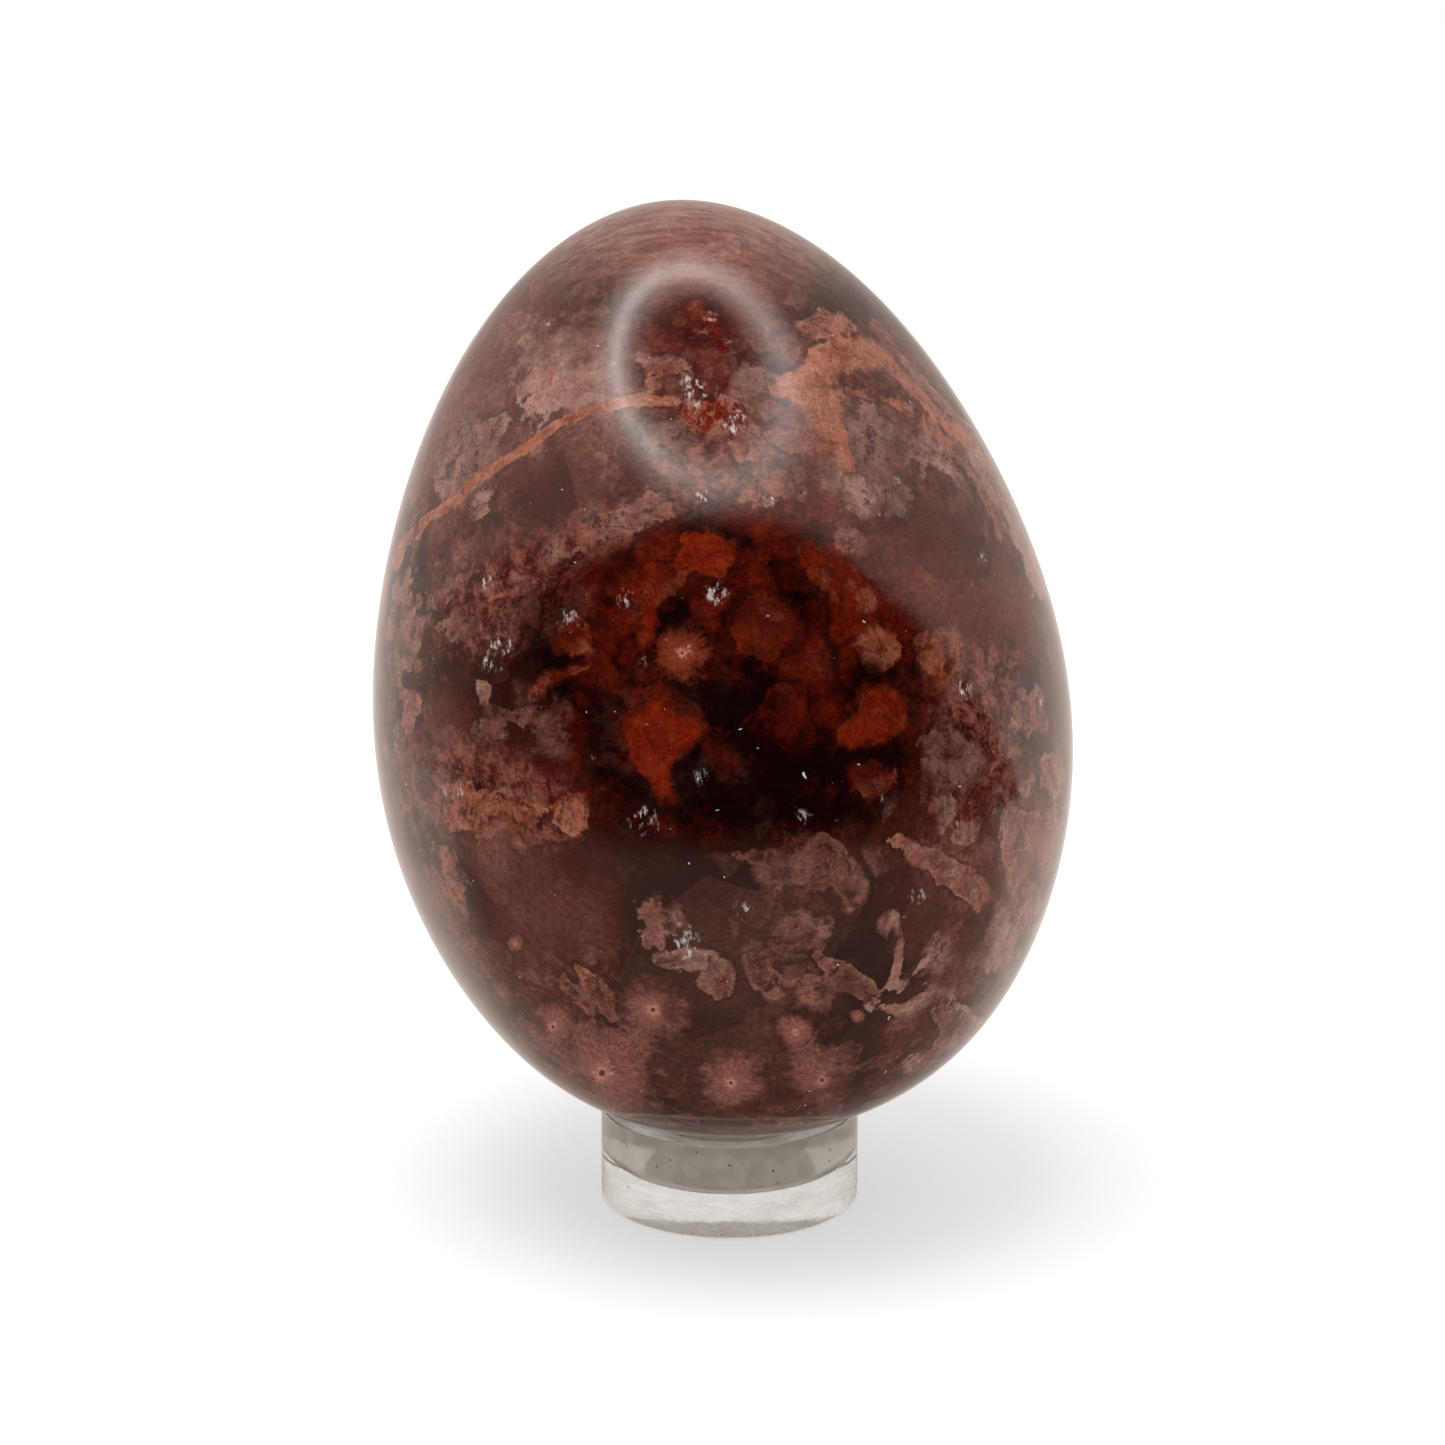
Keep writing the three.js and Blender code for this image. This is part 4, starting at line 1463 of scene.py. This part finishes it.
@dataclass
class Studio:
    """A white table in a white room, with a ring lamp and dark cards for the polish to mirror.

    The cards and the ring are seen in reflections only. They give the dark middle, the plain
    lower half and the pale loop that the polish shows in the photograph. Angles are degrees.
    """

    white: str = "#ffffff"
    table_colour: str = "#e8e8e8"
    table_size: float = 8.0
    table_glow: float = 0.41
    table_mirrored: float = 0.73
    clearance: float = 0.02 * MM
    mirrored_tint: str = "#f7e9e1"
    daylight: float = 0.70
    world_mirrored: float = 0.1
    lamp_power: float = 2.4
    lamp_size: float = 0.5
    lamp_place: Place = (-0.12, -0.15, 0.85)
    disc_sides: int = 96
    ring_colour: tuple[float, float, float, float] = (1.0, 0.985, 0.96, 1.0)
    ring_place: Place = (0.02, -0.285, 0.64)
    ring_radius: float = 0.36
    ring_half_width: float = 0.145
    ring_strength: float = 2.8
    ring_core: float = 0.06
    ring_core_strength: float = 3.0
    ring_middle: float = 0.05
    mat_radius: float = 0.80
    mat_hole: float = 0.0129
    mat_back: float = 0.02
    mat_fade: float = 0.55
    mat_colour: str = "#8e8781"
    mat_dip: float = 0.08
    card_colour: str = "#060606"
    card_distance: float = 0.19
    card_sides: Pair = (-142.0, 158.0)
    card_fades: Pair = (94.0, 62.0)
    card_top: float = 0.207
    card_top_fade: float = 0.016
    card_peak: float = 14.0
    card_falls: Pair = (0.6, 0.98)
    card_columns: int = 96
    card_rows: int = 32

    def build(self) -> None:
        """Builds the table, the surroundings, the lamps and the cards."""
        bpy.context.scene.view_settings.view_transform = "Standard"
        self._world()
        self._table()
        self._lamp()
        self._ring()
        self._mat()
        self._card()

    def _background_rays(self, add: Adder, mirrored: float) -> Socket:
        """Tells the rays that see the background, which shows as white, from the rest.

        Args:
            add: Adds nodes to the background's tree.
            mirrored: How far the rays off polished surfaces see it so.

        Returns:
            1 for the rays that see the background, and 0 for those that only carry light.
        """
        rays = add(RAYS).node.outputs
        seen = add(MAXIMUM, rays["Is Camera Ray"], rays["Is Transmission Ray"])
        return add(MAXIMUM, seen, add(MULTIPLY, rays["Is Glossy Ray"], mirrored))

    def _shown(self, add: Adder, colour: str) -> Socket:
        """Gives the background's colour, which is a little darker and warmer in the polish.

        Args:
            add: Adds nodes to the background's tree.
            colour: The colour seen straight.

        Returns:
            The colour for each ray.
        """
        rays = add(RAYS).node.outputs
        # A ray that has passed through the clear stand counts as glossy too.
        polish = add(SUBTRACT, rays["Is Glossy Ray"], rays["Is Transmission Ray"])
        return add(TINT, polish, colour, self.mirrored_tint)

    def _reflected_only(self, piece: bpy.types.Object) -> None:
        """Keeps a piece out of everything but reflections.

        Args:
            piece: The piece.
        """
        for ray in ("camera", "diffuse", "shadow", "transmission"):
            setattr(piece, f"visible_{ray}", False)

    def _disc(self, name: str, radius: float, place: Place) -> bpy.types.Object:
        """Makes a level disc.

        Args:
            name: The disc's name.
            radius: Its radius.
            place: Its centre.

        Returns:
            The disc.
        """
        turn = np.linspace(0, 2 * math.pi, self.disc_sides, endpoint=False)
        corners = [(radius * math.cos(a), radius * math.sin(a), 0.0) for a in turn]
        mesh = bpy.data.meshes.new(name)
        mesh.from_pydata(corners, [], [tuple(range(self.disc_sides))])
        disc = link_mesh(name, mesh)
        disc.location = place
        return disc

    def _world(self) -> None:
        """Lights the scene evenly, and shows plain white in the background."""
        world = bpy.data.worlds.new("white_room")
        bpy.context.scene.world = world
        world.use_nodes = True
        world.node_tree.nodes.clear()
        add = partial(add_node, world.node_tree)
        seen = self._background_rays(add, self.world_mirrored)
        strength = add(RANGE, seen, 0.0, 1.0, self.daylight, 1.0)
        add(WORLD_OUTPUT, add(BACKGROUND, self._shown(add, self.white), strength))

    def _table(self) -> None:
        """Lays the table, which takes the object's shadow and is otherwise nearly white."""
        half = self.table_size / 2
        mesh = bpy.data.meshes.new("table")
        corners = [(-half, -half, 0), (half, -half, 0), (half, half, 0), (-half, half, 0)]
        mesh.from_pydata(corners, [], [(0, 1, 2, 3)])
        material, add = start_material("white_table")
        matt = add(DIFFUSE, self._shown(add, self.table_colour))
        seen = self._background_rays(add, self.table_mirrored)
        glow = add(RANGE, seen, 0.0, 1.0, 0.0, self.table_glow)
        glow = add(EMISSION, self._shown(add, self.white), glow)
        add(OUTPUT, add(SHADER_SUM, matt, glow))
        mesh.materials.append(material)
        table = link_mesh("table", mesh)
        table.location.z = -self.clearance

    def _lamp(self) -> None:
        """Hangs a soft lamp above, a little to the left, that lights the stone's upper half."""
        lamp = bpy.data.lights.new("soft_lamp", "AREA")
        lamp.shape = "DISK"
        lamp.size = self.lamp_size
        lamp.energy = self.lamp_power
        holder = bpy.data.objects.new("soft_lamp", lamp)
        bpy.context.scene.collection.objects.link(holder)
        holder.location = self.lamp_place
        holder.rotation_euler = (-Vector(self.lamp_place)).to_track_quat("-Z", "Y").to_euler()
        holder.visible_glossy = False

    def _ring(self) -> None:
        """Hangs the ring lamp, bright in the middle of its band and brighter on the left."""
        radius = self.ring_radius + self.ring_half_width
        ring = self._disc("ring_lamp", radius, self.ring_place)
        material, add = start_material("ring_lamp")
        place = add(PLACE, output="Object")
        out = add(LENGTH, place)
        off = add(ABSOLUTE, add(SUBTRACT, out, self.ring_radius))
        band = add(SMOOTH, off, self.ring_half_width, 0.0, 0.0, self.ring_strength)
        core = add(SMOOTH, off, self.ring_core, 0.0, 0.0, self.ring_core_strength)
        side, front = (add(SPLIT, place, output=axis) for axis in "XY")
        band = add(ADD, band, add(MULTIPLY, core, add(RANGE, side, -radius / 2, radius / 2, 1.0, 0.2)))
        band = add(MULTIPLY, band, add(RANGE, side, -radius, radius, 1.1, 0.8))
        band = add(MULTIPLY, band, add(RANGE, front, -radius, 0.0, 0.6, 1.0))
        rest = add(SMOOTH, out, self.ring_radius * 0.3, radius, self.ring_middle, 1.0)
        add(OUTPUT, add(EMISSION, self.ring_colour, add(ADD, band, rest)))
        ring.data.materials.append(material)
        self._reflected_only(ring)

    def _mat(self) -> None:
        """Lays the dark mat that the stone's lower half mirrors, in front and clear of the stand."""
        mat = self._disc("dark_mat", self.mat_radius, (0.0, 0.0, self.clearance))
        material, add = start_material("dark_mat")
        place = add(PLACE, output="Object")
        out = add(LENGTH, place)
        share = add(SMOOTH, out, self.mat_radius, self.mat_radius - self.mat_fade)
        share = add(MULTIPLY, share, add(SMOOTH, out, self.mat_hole, self.mat_hole * 1.06))
        back = add(SMOOTH, add(SPLIT, place, output="Y"), self.mat_back, -self.mat_back)
        share = add(MULTIPLY, share, back)
        dip = add(ABSOLUTE, add(SUBTRACT, out, self.card_distance))
        dip = add(SMOOTH, dip, self.mat_dip, 0.0)
        matt = add(DIFFUSE, add(BLEND, dip, self.mat_colour, self.card_colour))
        add(OUTPUT, add(SHADER_MIX, share, add(CLEAR), matt))
        mat.data.materials.append(material)
        self._reflected_only(mat)

    def _card(self) -> None:
        """Stands the dark card, which fades out at its sides and along its top."""
        columns, rows = self.card_columns, self.card_rows
        start, end = self.card_sides
        corners, cover, faces = [], [], []
        for i in range(columns + 1):
            angle = start + (end - start) * i / columns
            fall = self.card_falls[angle > self.card_peak]
            top = self.card_top * math.cos(math.radians(fall * (angle - self.card_peak)))
            sides = min((angle - start) / self.card_fades[0], (end - angle) / self.card_fades[1], 1.0)
            turn = math.radians(angle)
            across, along = self.card_distance * math.sin(turn), -self.card_distance * math.cos(turn)
            for j in range(rows + 1):
                height = top * j / rows
                corners.append((across, along, height))
                cover.append(sides * min((top - height) / self.card_top_fade, 1.0))
        for i in range(columns):
            for j in range(rows):
                a = i * (rows + 1) + j
                faces.append((a, a + rows + 1, a + rows + 2, a + 1))
        mesh = bpy.data.meshes.new("dark_card")
        mesh.from_pydata(corners, [], faces)
        mesh.attributes.new("cover", "FLOAT", "POINT").data.foreach_set("value", cover)
        material, add = start_material("black_card")
        share = add(SMOOTH, add(ATTRIBUTE, output="Fac", attribute_name="cover"))
        add(OUTPUT, add(SHADER_MIX, share, add(CLEAR), add(DIFFUSE, self.card_colour)))
        mesh.materials.append(material)
        self._reflected_only(link_mesh("dark_card", mesh))


def main() -> None:
    """Builds every piece in order and reports each."""
    logging.basicConfig(level=logging.INFO)
    front = Sight()
    front.make_camera()
    groups = (FRONT_FRAGMENTS, FRONT_FLOWERS, FRONT_CRYSTALS, FRONT_DEPTHS, FRONT_CRUMBS, FRONT_WASHES)
    sets = [MarkSet(front, *groups)]
    for quarter in (1, 2, 3):
        sets.append(Scatter(seed=40 + quarter).marks(Sight(turn=quarter * math.pi / 2)))
    log.info("built %s", StoneEgg().build(tuple(sets)).name)
    log.info("built %s", CupStand().build().name)
    Studio().build()


if __name__ == "__main__":
    main()
